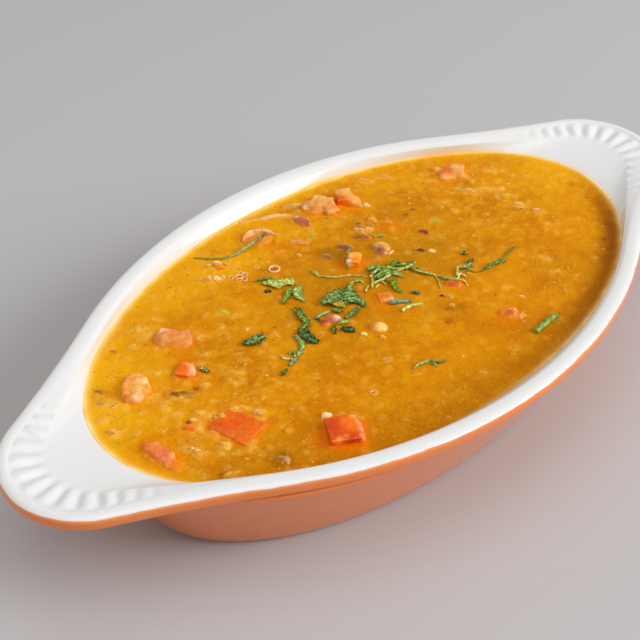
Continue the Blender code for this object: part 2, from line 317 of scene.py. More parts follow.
def grain(tree, place, scale, detail=2.0, roughness=0.5):
    inputs = {"Vector": place, "Scale": scale, "Detail": detail, "Roughness": roughness}
    return add_node(tree, "ShaderNodeTexNoise", inputs).outputs[0]


def attribute(tree, name, output="Fac"):
    return add_node(tree, "ShaderNodeAttribute", attribute_name=name).outputs[output]


def new_material(name):
    """(material, its tree, its Principled shader, object coordinates)"""
    made = bpy.data.materials.new(name)
    made.use_nodes = True
    tree = made.node_tree
    place = add_node(tree, "ShaderNodeTexCoord").outputs["Object"]
    return made, tree, tree.nodes["Principled BSDF"], place


def set_shader(tree, shader, height=None, lift=0.0, **inputs):
    """Colour, roughness and the rest onto the shader. Height, if any, goes through a bump."""
    for name, value in inputs.items():
        socket = shader.inputs[name.replace("_", " ")]
        if isinstance(value, bpy.types.NodeSocket):
            tree.links.new(value, socket)
        else:
            socket.default_value = value
    if height is not None:
        bump = add_node(tree, "ShaderNodeBump", {"Height": height, "Strength": 1.0, "Distance": lift})
        tree.links.new(bump.outputs[0], shader.inputs["Normal"])


def dish_glaze():
    """White glaze, terracotta glaze outside its wavy line, and a yellow stain just over the dal."""
    made, tree, shader, place = new_material("dish_glaze")
    wave = sums(tree, "MULTIPLY_ADD", grain(tree, place, 110.0, 3.0), 1.1, -0.55)
    beyond = sums(tree, "ADD", attribute(tree, "glaze"), wave)
    outside = ramp(tree, beyond, -0.12, 0.22)
    mottle = grain(tree, place, 160.0, 4.0, 0.6)
    white = blend(tree, mottle, chart(225, 225, 224), chart(230, 229, 228))
    per_axis = {1: (1 / DAL_AXES[0], 1 / DAL_AXES[1], 0.0)}
    across = add_node(tree, "ShaderNodeVectorMath", {0: place, **per_axis}, operation="MULTIPLY").outputs[0]
    slope = add_node(tree, "ShaderNodeVectorMath", {0: across, **per_axis}, operation="MULTIPLY").outputs[0]
    around = add_node(tree, "ShaderNodeVectorMath", {0: across}, operation="LENGTH").outputs["Value"]
    steep = add_node(tree, "ShaderNodeVectorMath", {0: slope}, operation="LENGTH").outputs["Value"]
    past_edge = sums(tree, "MULTIPLY", sums(tree, "SUBTRACT", around, 1.0), around)
    away = sums(tree, "DIVIDE", past_edge, sums(tree, "MULTIPLY", steep, MM))
    parts = add_node(tree, "ShaderNodeSeparateXYZ", {0: place}).outputs
    over_dal = sums(tree, "MAXIMUM", sums(tree, "SUBTRACT", parts[2], DAL_LEVEL), 0.0)
    away = sums(tree, "ADD", away, sums(tree, "MULTIPLY", over_dal, 0.6 / MM))
    uneven = ramp(tree, grain(tree, place, 26.0, 3.0), 0.38, 0.66, 0.3, 1.0)
    uneven = sums(tree, "MULTIPLY", uneven, ramp(tree, parts[0], -70 * MM, 20 * MM, 0.5, 1.2))
    away = sums(tree, "MULTIPLY", away, ramp(tree, parts[0], -80 * MM, 30 * MM, 2.4, 1.1))
    stain = sums(tree, "MULTIPLY", sums(tree, "POWER", 0.46, sums(tree, "MAXIMUM", away, 0.0)), uneven)
    white = blend(tree, stain, white, chart(246, 200, 70))
    clay = blend(tree, mottle, chart(230, 122, 56), chart(240, 140, 76))
    thin = ramp(tree, beyond, 0.1, 1.4, 1.0, 0.0)
    clay = blend(tree, thin, clay, chart(240, 146, 84))
    peel = grain(tree, place, 420.0, 2.0)
    set_shader(
        tree, shader, peel, 0.00003,
        Base_Color=blend(tree, outside, white, clay),
        Roughness=ramp(tree, mottle, 0.2, 0.8, 0.10, 0.17),
        IOR=1.5,
    )
    return made


def finish_piece(piece, name, material, slot, *nodes):
    """Names a finished piece, gives it its material and body, and hides the nodes that it stands for. Its
    slot is not used.
    """
    piece.name = piece.data.name = name
    piece.data.materials.clear()
    piece.data.materials.append(material)
    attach(piece, "root")
    if nodes:
        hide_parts(*nodes)


finish_piece(make_dish(), "dish_glazed", dish_glaze(), "white_glaze", "dish")


# The dal is a thick stew of cooked lentils, poured in to just under the rim. Its skin has soft
# lumps where lentils lie under it, and it climbs a little at the wall and at each piece in it.
PIECE_NODES = sorted(set(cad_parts) - {"dish", "dal"})
chance = np.random.default_rng(7)


def inside_dal(count, edge=0.97):
    """Chance places (x, y) in millimetres in the dal's ellipse."""
    angle = chance.uniform(0, 2 * np.pi, count)
    away = np.sqrt(chance.uniform(0, 1, count)) * edge / MM
    return away * DAL_AXES[0] * np.cos(angle), away * DAL_AXES[1] * np.sin(angle)


def soft_noise(x, y, size, seed):
    """Smooth noise, about -1 to 1, with features of this size in millimetres."""
    return np.array([noise.noise((a / size, b / size, seed)) for a, b in zip(x, y)])


def add_bumps(total, x, y, places, radii, heights):
    """Adds round bumps, all in millimetres, to a field over the points (x, y)."""
    order = np.argsort(x)
    sorted_x = x[order]
    for px, py, radius, height in zip(*places, radii, heights):
        low, high = np.searchsorted(sorted_x, (px - radius, px + radius))
        near = order[low:high]
        away = ((x[near] - px) ** 2 + (y[near] - py) ** 2) / radius**2
        total[near] += height * np.clip(1.0 - away, 0.0, 1.0) ** 1.5


def spread_out(x, y, px, py, length, width, turn=0.0):
    """One at (px, py), falling softly to nothing over an oval of this length and width."""
    along_it = (x - px) * math.cos(turn) + (y - py) * math.sin(turn)
    across_it = (y - py) * math.cos(turn) - (x - px) * math.sin(turn)
    return np.exp(-((2 * along_it / length) ** 2) - (2 * across_it / width) ** 2)


def crowding(x, y):
    """Where lentils lie close under the skin: most at the near ear and at the far end."""
    near = spread_out(x, y, -80, -4, 64, 74)
    far = 0.7 * spread_out(x, y, 66, 16, 66, 46)
    behind = 0.45 * spread_out(x, y, 5, 44, 90, 24)
    return np.clip(0.16 + near + far + behind, 0.0, 1.0)


# Brown skins under the surface: place, length and width.
SKINS = (
    (-77.4, 4.4, 12, 7), (-95.4, 20.6, 9, 7), (-73.0, -36.4, 7, 6), (5.0, 26.0, 12, 7),
    (19.0, 25.0, 8, 6), (30.8, 40.2, 3, 2.4), (14.0, -23.0, 12, 7), (8.0, -27.0, 6, 4), (36.6, 3.0, 4, 3),
    (-40.0, 9.0, 3.4, 2.6), (-4.2, 40.8, 12, 5), (-89.2, -29.8, 3.4, 2.4), (12.4, 52.4, 9, 5),
    (99.6, -4.4, 2.6, 2.2), (80.6, -34.0, 2.6, 2.2), (-19.0, 34.0, 3, 2), (44.6, 24.0, 3, 2),
    (-22.0, 52.0, 7, 3.4), (28.0, 5.4, 6, 4), (70.0, 24.0, 8, 4), (50.0, 34.0, 9, 4),
)


# Where the dal is pale and yellow, and where it is darker and browner: share, place, length and width.
PALE_PLACES = (
    (0.85, -96, 20, 56, 50), (0.35, -40, 46, 110, 24), (0.35, -18, 42, 64, 24), (0.58, 98, 6, 42, 44),
    (0.3, 48, 40, 60, 20), (0.22, 0, 56, 150, 16),
)
DEEP_PLACES = (
    (0.35, -6, 14, 70, 40), (0.55, -30, -54, 190, 26), (0.4, 62, -34, 60, 22), (0.5, -80, -38, 76, 30),
    (0.25, -90, -24, 34, 22),
)


def richness(x, y):
    """Where the dal is pale and yellow, over nothing, and where it is darker and browner, under it."""
    rich = np.zeros(len(x))
    for places, way in ((PALE_PLACES, 1.0), (DEEP_PLACES, -1.0)):
        for share, px, py, length, width in places:
            rich += way * share * spread_out(x, y, px, py, length, width)
    for px, py, length, width in SKINS:
        rich -= 0.75 * spread_out(x, y, px, py, length, width, -0.75)
    return rich


# Where carrot oil colours the dal: place, length, width, strength and turn.
OILED = (
    (30.4, 22.6, 10, 7, 0.8, -43), (-84.6, -9.0, 7, 5, 0.8, -43), (-59.0, -38.0, 6, 10, 0.6, 47),
    (-55.0, -47.0, 9, 4, 0.4, -20), (-79.0, -12.0, 6, 8, 0.5, 0), (3.0, -36.4, 6, 1.2, 0.7, -64),
    (5.4, -39.6, 3, 1.0, 0.5, -43), (0.0, -1.6, 9, 1.6, 0.8, -68), (-66.0, 18.0, 10, 6, 0.3, -43),
    (-4.0, -7.0, 12, 4, 0.5, -50), (2.0, -13.0, 10, 3, 0.4, -50), (-88.0, 6.0, 8, 6, 0.4, 0),
    (0.6, 13.0, 7, 4, 0.6, -43), (80.0, 30.0, 13, 5, 0.25, -36), (20.4, -36.4, 6, 4, 0.5, -43),
    (14.0, -10.0, 9, 4, 0.3, -43), (-8.0, 40.0, 12, 5, 0.4, -43), (63.0, 30.0, 9, 5, 0.3, -43),
    (-3.0, 4.0, 8, 5, 0.3, -43),
)
# Soft lumps just under the skin: place, length, width, rise and turn.
HIDDEN = (
    (-68.0, 38.3, 5.4, 3.6, 0.5, -35), (-67.4, 34.0, 5.0, 4.0, 0.4, -40),
    (-74.4, 32.1, 3.0, 2.2, 0.3, -43), (-61.2, 39.3, 3.0, 2.0, 0.3, -43),
    (-55.6, 22.0, 5.0, 2.6, 0.2, -43), (-82.4, 5.3, 3.2, 2.2, 0.5, -43),
    (-78.6, -5.7, 3.0, 2.4, 0.6, -30), (-76.6, -7.8, 3.4, 2.8, 0.6, -20),
    (-82.8, -1.2, 3.0, 2.4, 0.4, -43), (-82.4, -10.3, 4.0, 6.0, 0.4, -43),
    (-102.2, 5.0, 3.6, 2.8, 0.5, -43), (-101.4, 11.5, 3.6, 3.0, 0.4, -60),
    (-95.9, 15.8, 6.6, 4.6, 0.4, -50), (-89.1, -15.9, 1.8, 1.4, 0.4, -43),
    (-88.3, -18.8, 3.6, 2.6, 0.4, -30), (-81.2, -20.8, 3.8, 3.0, 0.5, -43),
    (-84.3, -22.4, 3.4, 2.6, 0.4, -20), (-77.0, -27.2, 3.4, 2.6, 0.5, -43),
    (-64.9, -17.0, 3.8, 3.0, 0.6, -43), (-73.6, -11.4, 4.6, 3.2, 0.6, -36),
    (-69.6, -11.2, 4.0, 3.4, 0.6, -20), (-66.6, -13.6, 3.2, 2.6, 0.6, -60),
    (-28.4, 46.3, 6.6, 3.0, 0.7, -40), (-35.2, 42.6, 4.2, 3.0, 0.6, -43),
    (-32.0, 40.4, 3.8, 2.8, 0.6, -43), (-58.4, 0.6, 3.4, 2.4, 0.2, -43),
    (-40.4, 22.1, 4.4, 2.6, 0.3, -43), (-87.0, -30.9, 3.6, 2.0, 0.3, -10),
    (68.4, 18.0, 8.0, 3.4, 0.3, -50), (74.8, 13.9, 9.0, 2.6, 0.3, -54), (75.8, 7.5, 7.0, 2.6, 0.3, -50),
    (74.9, -0.4, 6.0, 3.4, 0.3, -48), (76.7, -7.2, 5.0, 3.0, 0.3, -46), (56.9, -27.9, 4.0, 3.0, 0.3, -43),
    (53.6, -34.1, 4.4, 2.0, 0.3, -43), (62.5, 32.6, 5.0, 3.0, 0.3, -43), (57.0, 19.9, 5.0, 2.6, 0.2, -43),
    (44.4, 49.6, 8.0, 2.4, 0.4, -55), (51.5, 46.6, 7.0, 2.0, 0.4, -50), (56.2, -25.0, 3.6, 2.4, 0.2, -43),
    (34.6, -28.0, 4.0, 2.4, 0.2, -43), (22.0, -8.6, 3.0, 2.0, 0.2, -43), (84.0, 22.0, 7.0, 3.0, 0.2, -52),
    (70.0, 34.0, 6.0, 2.4, 0.3, -45),
)


# How much the dal climbs at a piece, how far this and the piece's oil reach, and where both have
# ended, in millimetres.
CLIMB, CLIMB_REACH, OIL_REACH, NO_REACH = 0.42, 0.9, 2.0, 5.0
# How much each food colours the dal round it, and the carrots that have lost most of their colour.
OIL = {"carrot": 0.9, "tomato": 0.55, "bean": 0.15}
OTHER_OIL, PALE_OIL = 0.1, 0.3
PALE_CARROTS = ("carrot_back", "carrot_far", "carrot_centre")


def surface_tree(mesh):
    """The search tree of a mesh's faces."""
    return BVHTree.FromPolygons([v.co for v in mesh.vertices], [tuple(p.vertices) for p in mesh.polygons])


def near_pieces(x, y):
    """How much the dal climbs round the pieces in it, in millimetres, and how they colour it."""
    rise, halo = np.zeros(len(x)), np.zeros(len(x))
    for name in PIECE_NODES:
        low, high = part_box(name)
        low, high = low / MM, high / MM
        tree = surface_tree(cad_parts[name].data)
        oil = PALE_OIL if name in PALE_CARROTS else OIL.get(name.split("_")[0], OTHER_OIL)
        near = (x > low.x - NO_REACH) & (x < high.x + NO_REACH)
        near &= (y > low.y - NO_REACH) & (y < high.y + NO_REACH)
        for index in np.nonzero(near)[0]:
            away = tree.find_nearest((x[index] * MM, y[index] * MM, DAL_LEVEL))[3] / MM
            rise[index] = max(rise[index], CLIMB * math.exp(-((away / CLIMB_REACH) ** 2)))
            halo[index] = max(halo[index], oil * math.exp(-((away / OIL_REACH) ** 1.5)))
    for px, py, length, width, strength, turn in OILED:
        halo += strength * spread_out(x, y, px, py, length, width, math.radians(turn))
    return rise, np.clip(halo * (0.9 + 0.6 * soft_noise(x, y, 1.6, 31.0)), 0.0, 1.0)


# How many small lumps are tried, the share of them that is pale, and how many warm patches.
LUMPS, PALE_LUMPS, WARM_PATCHES = 5200, 0.42, 380


def dal_fields(x, y):
    """Height of the dal's skin over its level, and how pale and how warm it is, at (x, y)."""
    crowd = crowding(x, y)
    height = 0.16 * soft_noise(x, y, 17.0, 1.0) + 0.10 * soft_noise(x, y, 6.0, 2.0)
    height += 0.06 * soft_noise(x, y, 2.6, 3.0) * (0.4 + crowd)
    pale, warm = np.zeros(len(x)), np.zeros(len(x))
    x, y = x + 0.9 * soft_noise(x, y, 1.7, 21.0), y + 0.9 * soft_noise(x, y, 1.7, 27.0)
    px, py = inside_dal(LUMPS)
    kept = chance.uniform(0, 1, len(px)) < crowding(px, py)
    places = (px[kept], py[kept])
    radii = chance.uniform(0.9, 2.3, kept.sum())
    add_bumps(height, x, y, places, radii, radii * chance.uniform(0.02, 0.11, len(radii)))
    chosen = chance.uniform(0, 1, len(radii)) < PALE_LUMPS
    strength = chance.uniform(0.1, 0.5, chosen.sum())
    add_bumps(pale, x, y, (places[0][chosen], places[1][chosen]), radii[chosen] * 0.95, strength)
    patches = inside_dal(WARM_PATCHES)
    sizes = chance.uniform(2.0, 6.0, WARM_PATCHES)
    add_bumps(warm, x, y, patches, sizes, chance.uniform(0.1, 0.45, WARM_PATCHES))
    for px, py, length, width, rise, turn in HIDDEN:
        lump = spread_out(x, y, px, py, length, width, math.radians(turn))
        height += rise * lump
        pale += (0.62 + 0.38 * min(rise, 1.0)) * lump
    fleck = soft_noise(x, y, 1.1, 11.0)
    return height, np.clip(pale * (0.95 + 0.7 * fleck), 0, 1), np.clip(warm, 0, 1)


# How the dal's edge changes round the dish, from the ear at the right, in degrees: how yellow it
# is, how thin and pale its outermost film is, and how dark the painted shadow of the rim is on it.
EDGE_YELLOW = ((-180, 1.0), (-165, 0.7), (-150, 0.2), (-135, 0.0), (-8, 0.0), (8, 0.7), (30, 1.0), (180, 1.0))
EDGE_FILM = (
    (-180, 1.0), (-165, 0.8), (-150, 0.35), (-130, 0.1), (-100, 0.3), (-74, 0.9), (-10, 1.0), (30, 0.9),
    (180, 1.0),
)
FILM_REACH = (
    (-180, 1.4), (-140, 1.0), (-90, 1.2), (-70, 1.7), (-20, 1.7), (0, 1.3), (110, 1.2), (135, 2.4),
    (150, 2.0), (180, 1.4),
)
EDGE_PAINTED_SHADOW = (
    (-180, 0.0), (-115, 0.0), (-100, 0.1), (-86, 0.28), (-74, 0.45), (-60, 0.62), (-45, 0.62), (-30, 0.8),
    (-18, 0.6), (-8, 0.15), (0, 0.0), (180, 0.0),
)

# How far each of them reaches from the edge, in millimetres, and the line that the painted shadow of the rim
# is on.
YELLOW_REACH, PAINTED_SHADOW_LINE, PAINTED_SHADOW_REACH = 2.6, 5.4, 4.2
# The net of points of the skin, and how far it goes into the wall along and across the dish.
NET_SQUARES, INTO_WALL = (356, 214), (1.5, 0.45)
# How much the skin climbs the wall and over which width, and how much and where it then dips.
WALL_CLIMB, CLIMB_WIDTH, WALL_DIP, DIP_WIDTH = 0.30, 1.6, 0.9, 0.55
# The dal below its skin, down the bowl's wall: heights, and how far each is inside the last.
UNDER_SKIN = ((38.0, 1.9), (30.0, 3.6), (16.0, 6.4), (10.0, 5.0), (6.8, 7.0))


def round_edge(around, table):
    """The value of such a table at these angles."""
    return np.interp(around, *zip(*table))


def make_dal():
    """A square net of points, rounded into the bowl's ellipse, with its edge drawn down the wall
    and closed below. The colours of its skin are kept at its points."""
    bpy.ops.object.select_all(action="DESELECT")
    bpy.ops.mesh.primitive_grid_add(x_subdivisions=NET_SQUARES[0], y_subdivisions=NET_SQUARES[1], size=2.0)
    piece = bpy.context.object
    mesh = piece.data
    flat = np.empty(len(mesh.vertices) * 3)
    mesh.vertices.foreach_get("co", flat)
    u, v = flat.reshape(-1, 3)[:, 0], flat.reshape(-1, 3)[:, 1]
    x = u * np.sqrt(1 - v**2 / 2)
    y = v * np.sqrt(1 - u**2 / 2)
    out = np.hypot(x, y)
    axes = np.array(DAL_AXES) / MM
    spread = np.array(INTO_WALL)
    x, y = x * (axes[0] + spread[0]), y * (axes[1] + spread[1])
    height, pale, warm = dal_fields(x, y)
    rise, halo = near_pieces(x, y)
    from_edge = (1.0 - out) * (axes[1] + (axes[0] - axes[1]) * np.abs(x) / axes[0])
    height *= np.clip(from_edge / 4.0, 0.25, 1.0)
    at_wall = np.exp(-((from_edge / CLIMB_WIDTH) ** 2))
    height += rise + WALL_CLIMB * at_wall + 0.08 * soft_noise(x, y, 9.0, 5.0)
    height -= WALL_DIP * np.clip(1.0 - from_edge / DIP_WIDTH, 0.0, 1.0) ** 2
    mesh.vertices.foreach_set("co", np.column_stack((x * MM, y * MM, DAL_LEVEL + height * MM)).ravel())
    uneven = 1.0 + 0.5 * soft_noise(x, y, 5.0, 6.0)
    around = np.degrees(np.arctan2(y / axes[1], x / axes[0]))
    edge = round_edge(around, EDGE_YELLOW) * np.exp(-((from_edge / YELLOW_REACH) ** 1.4)) * uneven
    film_reach = round_edge(around, FILM_REACH)
    film = round_edge(around, EDGE_FILM) * np.exp(-((from_edge / film_reach) ** 2)) * uneven
    # Painted shadow of the rim: a darker band inside the dal's edge at the near right, where the rim shades
    # it.
    shade = round_edge(around, EDGE_PAINTED_SHADOW) * np.exp(-(((from_edge - PAINTED_SHADOW_LINE) / PAINTED_SHADOW_REACH) ** 2))
    shade *= 1.0 - 0.5 * pale
    rich = richness(x + 0.8 * soft_noise(x, y, 1.8, 41.0), y + 0.8 * soft_noise(x, y, 1.8, 47.0))
    olive = 0.5 * spread_out(x, y, 8, 6, 84, 44)
    fields = {"pale": pale, "warm": warm, "halo": halo, "rich": rich}
    fields.update({"edge": edge, "film": film, "shade": shade, "olive": olive})
    for name, values in fields.items():
        values = np.clip(values, -1.0, 1.0).astype(np.float32)
        mesh.attributes.new(name, "FLOAT", "POINT").data.foreach_set("value", values)
    bpy.ops.object.mode_set(mode="EDIT")
    bpy.ops.mesh.select_all(action="SELECT")
    bpy.ops.mesh.region_to_loop()
    axes = np.array(DAL_AXES) + spread * MM
    drawn = 0.0
    for height, step in UNDER_SKIN:
        size = (axes - (drawn + step) * MM) / (axes - drawn * MM)
        bpy.ops.mesh.extrude_edges_move()
        bpy.ops.transform.resize(value=(size[0], size[1], 0.0), center_override=(0.0, 0.0, height * MM))
        drawn += step
    bpy.ops.mesh.edge_face_add()
    bpy.ops.mesh.select_all(action="SELECT")
    bpy.ops.mesh.normals_make_consistent(inside=False)
    bpy.ops.object.mode_set(mode="OBJECT")
    bpy.ops.object.shade_smooth()
    return piece


def stew():
    """Cooked lentils: a thick orange-yellow cream with pale flesh, warmer oil and dark crumbs, and a painted
    shadow of the rim along its near right edge.
    """
    made, tree, shader, place = new_material("stew")
    swirl = {0: place, 2: (0.0, 0.0, -0.75), 3: (1.3, 0.95, 1.0)}
    stirred = add_node(tree, "ShaderNodeMapping", swirl, vector_type="TEXTURE").outputs[0]
    wide = grain(tree, stirred, 60.0, 3.0, 0.5)
    cloud = grain(tree, place, 240.0, 4.0, 0.55)
    fine = grain(tree, place, 900.0, 3.0, 0.6)
    rich = attribute(tree, "rich")
    warm = sums(tree, "MULTIPLY", attribute(tree, "warm"), ramp(tree, fine, 0.35, 0.65, 0.3, 1.0))
    pale = sums(tree, "MULTIPLY", attribute(tree, "pale"), ramp(tree, fine, 0.3, 0.62, 0.4, 1.0))
    cells = add_node(tree, "ShaderNodeTexVoronoi", {"Vector": place, "Scale": 620.0, "Randomness": 1.0})
    chance_of = add_node(tree, "ShaderNodeSeparateColor", {"Color": cells.outputs["Color"]}).outputs[0]
    crumb = sums(
        tree, "MULTIPLY", ramp(tree, chance_of, 0.91, 0.93),
        ramp(tree, cells.outputs["Distance"], 0.34, 0.18),
    )
    layers = (
        (ramp(tree, cloud, 0.42, 0.7, 0.0, 0.55), (232, 159, 16)),
        (ramp(tree, cloud, 0.38, 0.22, 0.0, 0.55), (184, 102, 0)),
        (ramp(tree, rich, 0.0, 0.9, 0.0, 0.8), (240, 174, 14)),
        (ramp(tree, rich, 0.0, -1.2, 0.0, 0.92), (154, 88, 0)),
        (attribute(tree, "olive"), (168, 118, 6)),
        (ramp(tree, fine, 0.58, 0.72, 0.0, 0.42), (244, 184, 66)),
        (ramp(tree, fine, 0.4, 0.28, 0.0, 0.4), (184, 104, 0)),
        (sums(tree, "MULTIPLY", warm, 0.4), (220, 122, 0)),
        (sums(tree, "MULTIPLY", attribute(tree, "halo"), 0.8), (228, 108, 0)),
        (pale, (239, 184, 74)),
        # The painted shadow of the rim, inside the dal's near right edge.
        (attribute(tree, "shade"), (132, 66, 0)),
        (attribute(tree, "edge"), (248, 186, 16)),
        (attribute(tree, "film"), (255, 228, 156)),
        (sums(tree, "MULTIPLY", crumb, 0.35), (126, 66, 8)),
    )
    body = blend(tree, ramp(tree, wide, 0.35, 0.66), chart(201, 121, 0), chart(216, 138, 0))
    for share, colour in layers:
        body = blend(tree, share, body, chart(*colour))
    height = sums(tree, "ADD", sums(tree, "MULTIPLY", cloud, 0.6), sums(tree, "MULTIPLY", fine, 0.4))
    set_shader(
        tree, shader, height, 0.0004,
        Base_Color=body, Roughness=ramp(tree, fine, 0.3, 0.7, 0.36, 0.5), IOR=1.36, Specular_IOR_Level=0.08,
    )
    return made


finish_piece(make_dal(), "dal_stew", stew(), "dal", "dal")


# Lentils lie half sunk in the dal: soft pale lumps of flesh, brown skins and a few dark beans. One
# small ball is pressed out of shape, then copied, turned, sized and tinted for each of them.
skin_tree = surface_tree(bpy.data.objects["dal_stew"].data)
# The views from the near side look along BACK, and RIGHT lies across it, turned by RIGHT_TURN.
RIGHT, BACK = Vector((0.731, -0.682, 0.0)), Vector((0.682, 0.731, 0.0))
RIGHT_TURN = -43


def skin_height(x, y):
    """Height of the dal's skin at a place in millimetres."""
    hit = skin_tree.ray_cast(Vector((x * MM, y * MM, 0.08)), Vector((0.0, 0.0, -1.0)))[0]
    return hit.z if hit else DAL_LEVEL


def take_form(obj):
    """The (points, faces) of an object, which is then put away."""
    form = [tuple(v.co) for v in obj.data.vertices], [tuple(p.vertices) for p in obj.data.polygons]
    bpy.data.objects.remove(obj)
    return form


def pressed_ball(steps, seed, rough):
    """A ball of radius one with uneven sides, as (points, faces)."""
    bpy.ops.object.select_all(action="DESELECT")
    bpy.ops.mesh.primitive_ico_sphere_add(subdivisions=steps, radius=1.0)
    ball = bpy.context.object
    for vert in ball.data.vertices:
        dent = noise.noise(vert.co * 1.3 + Vector((seed, 0.0, 0.0)))
        dent += 0.4 * noise.noise(vert.co * 3.4 + Vector((seed, 4.0, 0.0)))
        vert.co *= 1.0 + rough * dent
    return take_form(ball)


def paint(mesh, tints):
    """Keeps a colour at each point of a mesh, for its material to read."""
    tints = np.array(tints, np.float32).ravel()
    mesh.attributes.new("tint", "FLOAT_COLOR", "POINT").data.foreach_set("color", tints)


def mixed(under, over, share):
    """The colour that is this share of the way from one to another."""
    return tuple(a + (b - a) * share for a, b in zip(under, over))


def scatter(form, placed):
    """One mesh of many copies of a form, each (place, half-sizes, turn, colour, colour behind,
    depth of the film of dal on it). Where the colour behind is paler, it is partly the copy's own colour and
    partly a painted highlight along its far edge."""
    points, faces = np.array(form[0]), form[1]
    places, polygons, tints = [], [], []
    for place, halves, turn, colour, behind, film in placed:
        x, y, z = (points * np.array(halves) * MM).T
        x, y = x * math.cos(turn) - y * math.sin(turn), x * math.sin(turn) + y * math.cos(turn)
        start = len(places) * len(points)
        moved = np.stack((x, y, z), 1) + np.array(place)
        places.append(moved)
        polygons.extend(tuple(index + start for index in face) for face in faces)
        # The far side of each copy takes the colour behind, which where paler is partly a painted highlight
        # along the far edge.
        back = np.clip((x * BACK.x + y * BACK.y) / (min(halves[:2]) * MM) * 1.6 + 0.1, 0.0, 1.0)[:, None]
        tint = np.array(colour) * (1 - back) + np.array(behind) * back
        if film:
            over = np.array([(z_ - skin_height(x_ / MM, y_ / MM)) / MM for x_, y_, z_ in moved])
            wet = np.exp(-((np.clip(over, 0, None) / film) ** 2))[:, None] * 0.9
            tint = tint * (1 - wet) + np.array(STEW) * wet
        tints.append(tint)
    mesh = bpy.data.meshes.new("scattered")
    mesh.from_pydata(np.concatenate(places).tolist(), [], polygons)
    paint(mesh, np.concatenate(tints))
    mesh.shade_smooth()
    piece = bpy.data.objects.new("scattered", mesh)
    bpy.context.scene.collection.objects.link(piece)
    return piece


def grain_group():
    """Mottling and small pits of cooked vegetables, over any place and at any scale."""
    tree = bpy.data.node_groups.new("cooked_grain", "ShaderNodeTree")
    tree.interface.new_socket("Place", in_out="INPUT", socket_type="NodeSocketVector")
    tree.interface.new_socket("Scale", in_out="INPUT", socket_type="NodeSocketFloat")
    tree.interface.new_socket("Mottle", in_out="OUTPUT", socket_type="NodeSocketFloat")
    tree.interface.new_socket("Relief", in_out="OUTPUT", socket_type="NodeSocketFloat")
    enter, leave = tree.nodes.new("NodeGroupInput"), tree.nodes.new("NodeGroupOutput")
    place, scale = enter.outputs["Place"], enter.outputs["Scale"]
    coarse = grain(tree, place, scale, 3.0, 0.6)
    fine = grain(tree, place, sums(tree, "MULTIPLY", scale, 4.0), 2.0)
    tree.links.new(ramp(tree, coarse, 0.3, 0.7), leave.inputs["Mottle"])
    tree.links.new(sums(tree, "ADD", coarse, sums(tree, "MULTIPLY", fine, 0.35)), leave.inputs["Relief"])
    return tree


cooked_grain = grain_group()


def cooked(name, scale, dark, light, relief, roughness, soft, level):
    """A cooked food: its own tint, mottled between a darker and a lighter share of itself."""
    made, tree, shader, place = new_material(name)
    group = add_node(tree, "ShaderNodeGroup", node_tree=cooked_grain)
    tree.links.new(place, group.inputs["Place"])
    group.inputs["Scale"].default_value = scale
    tint = attribute(tree, "tint", "Color")
    shade = blend(tree, 1.0, tint, (dark, dark * 0.94, dark * 0.9, 1.0), "MULTIPLY")
    shine = blend(tree, 1.0, tint, (light, light, light, 1.0), "MULTIPLY")
    set_shader(
        tree, shader, group.outputs["Relief"], relief,
        Base_Color=blend(tree, group.outputs["Mottle"], shade, shine),
        Roughness=ramp(tree, group.outputs["Mottle"], 0.0, 1.0, roughness, roughness + 0.12),
        Subsurface_Weight=soft, Subsurface_Scale=0.0012, Subsurface_Radius=(1.0, 0.45, 0.2),
        Specular_IOR_Level=level,
    )
    return made


STEW, PEACH, CREAM = chart(222, 144, 20), chart(236, 172, 88), chart(248, 214, 146)
OLIVE, BROWN, MAROON = chart(158, 106, 26), chart(132, 74, 26), chart(104, 34, 14)
AMBER, TAN = chart(238, 160, 36), chart(214, 156, 84)
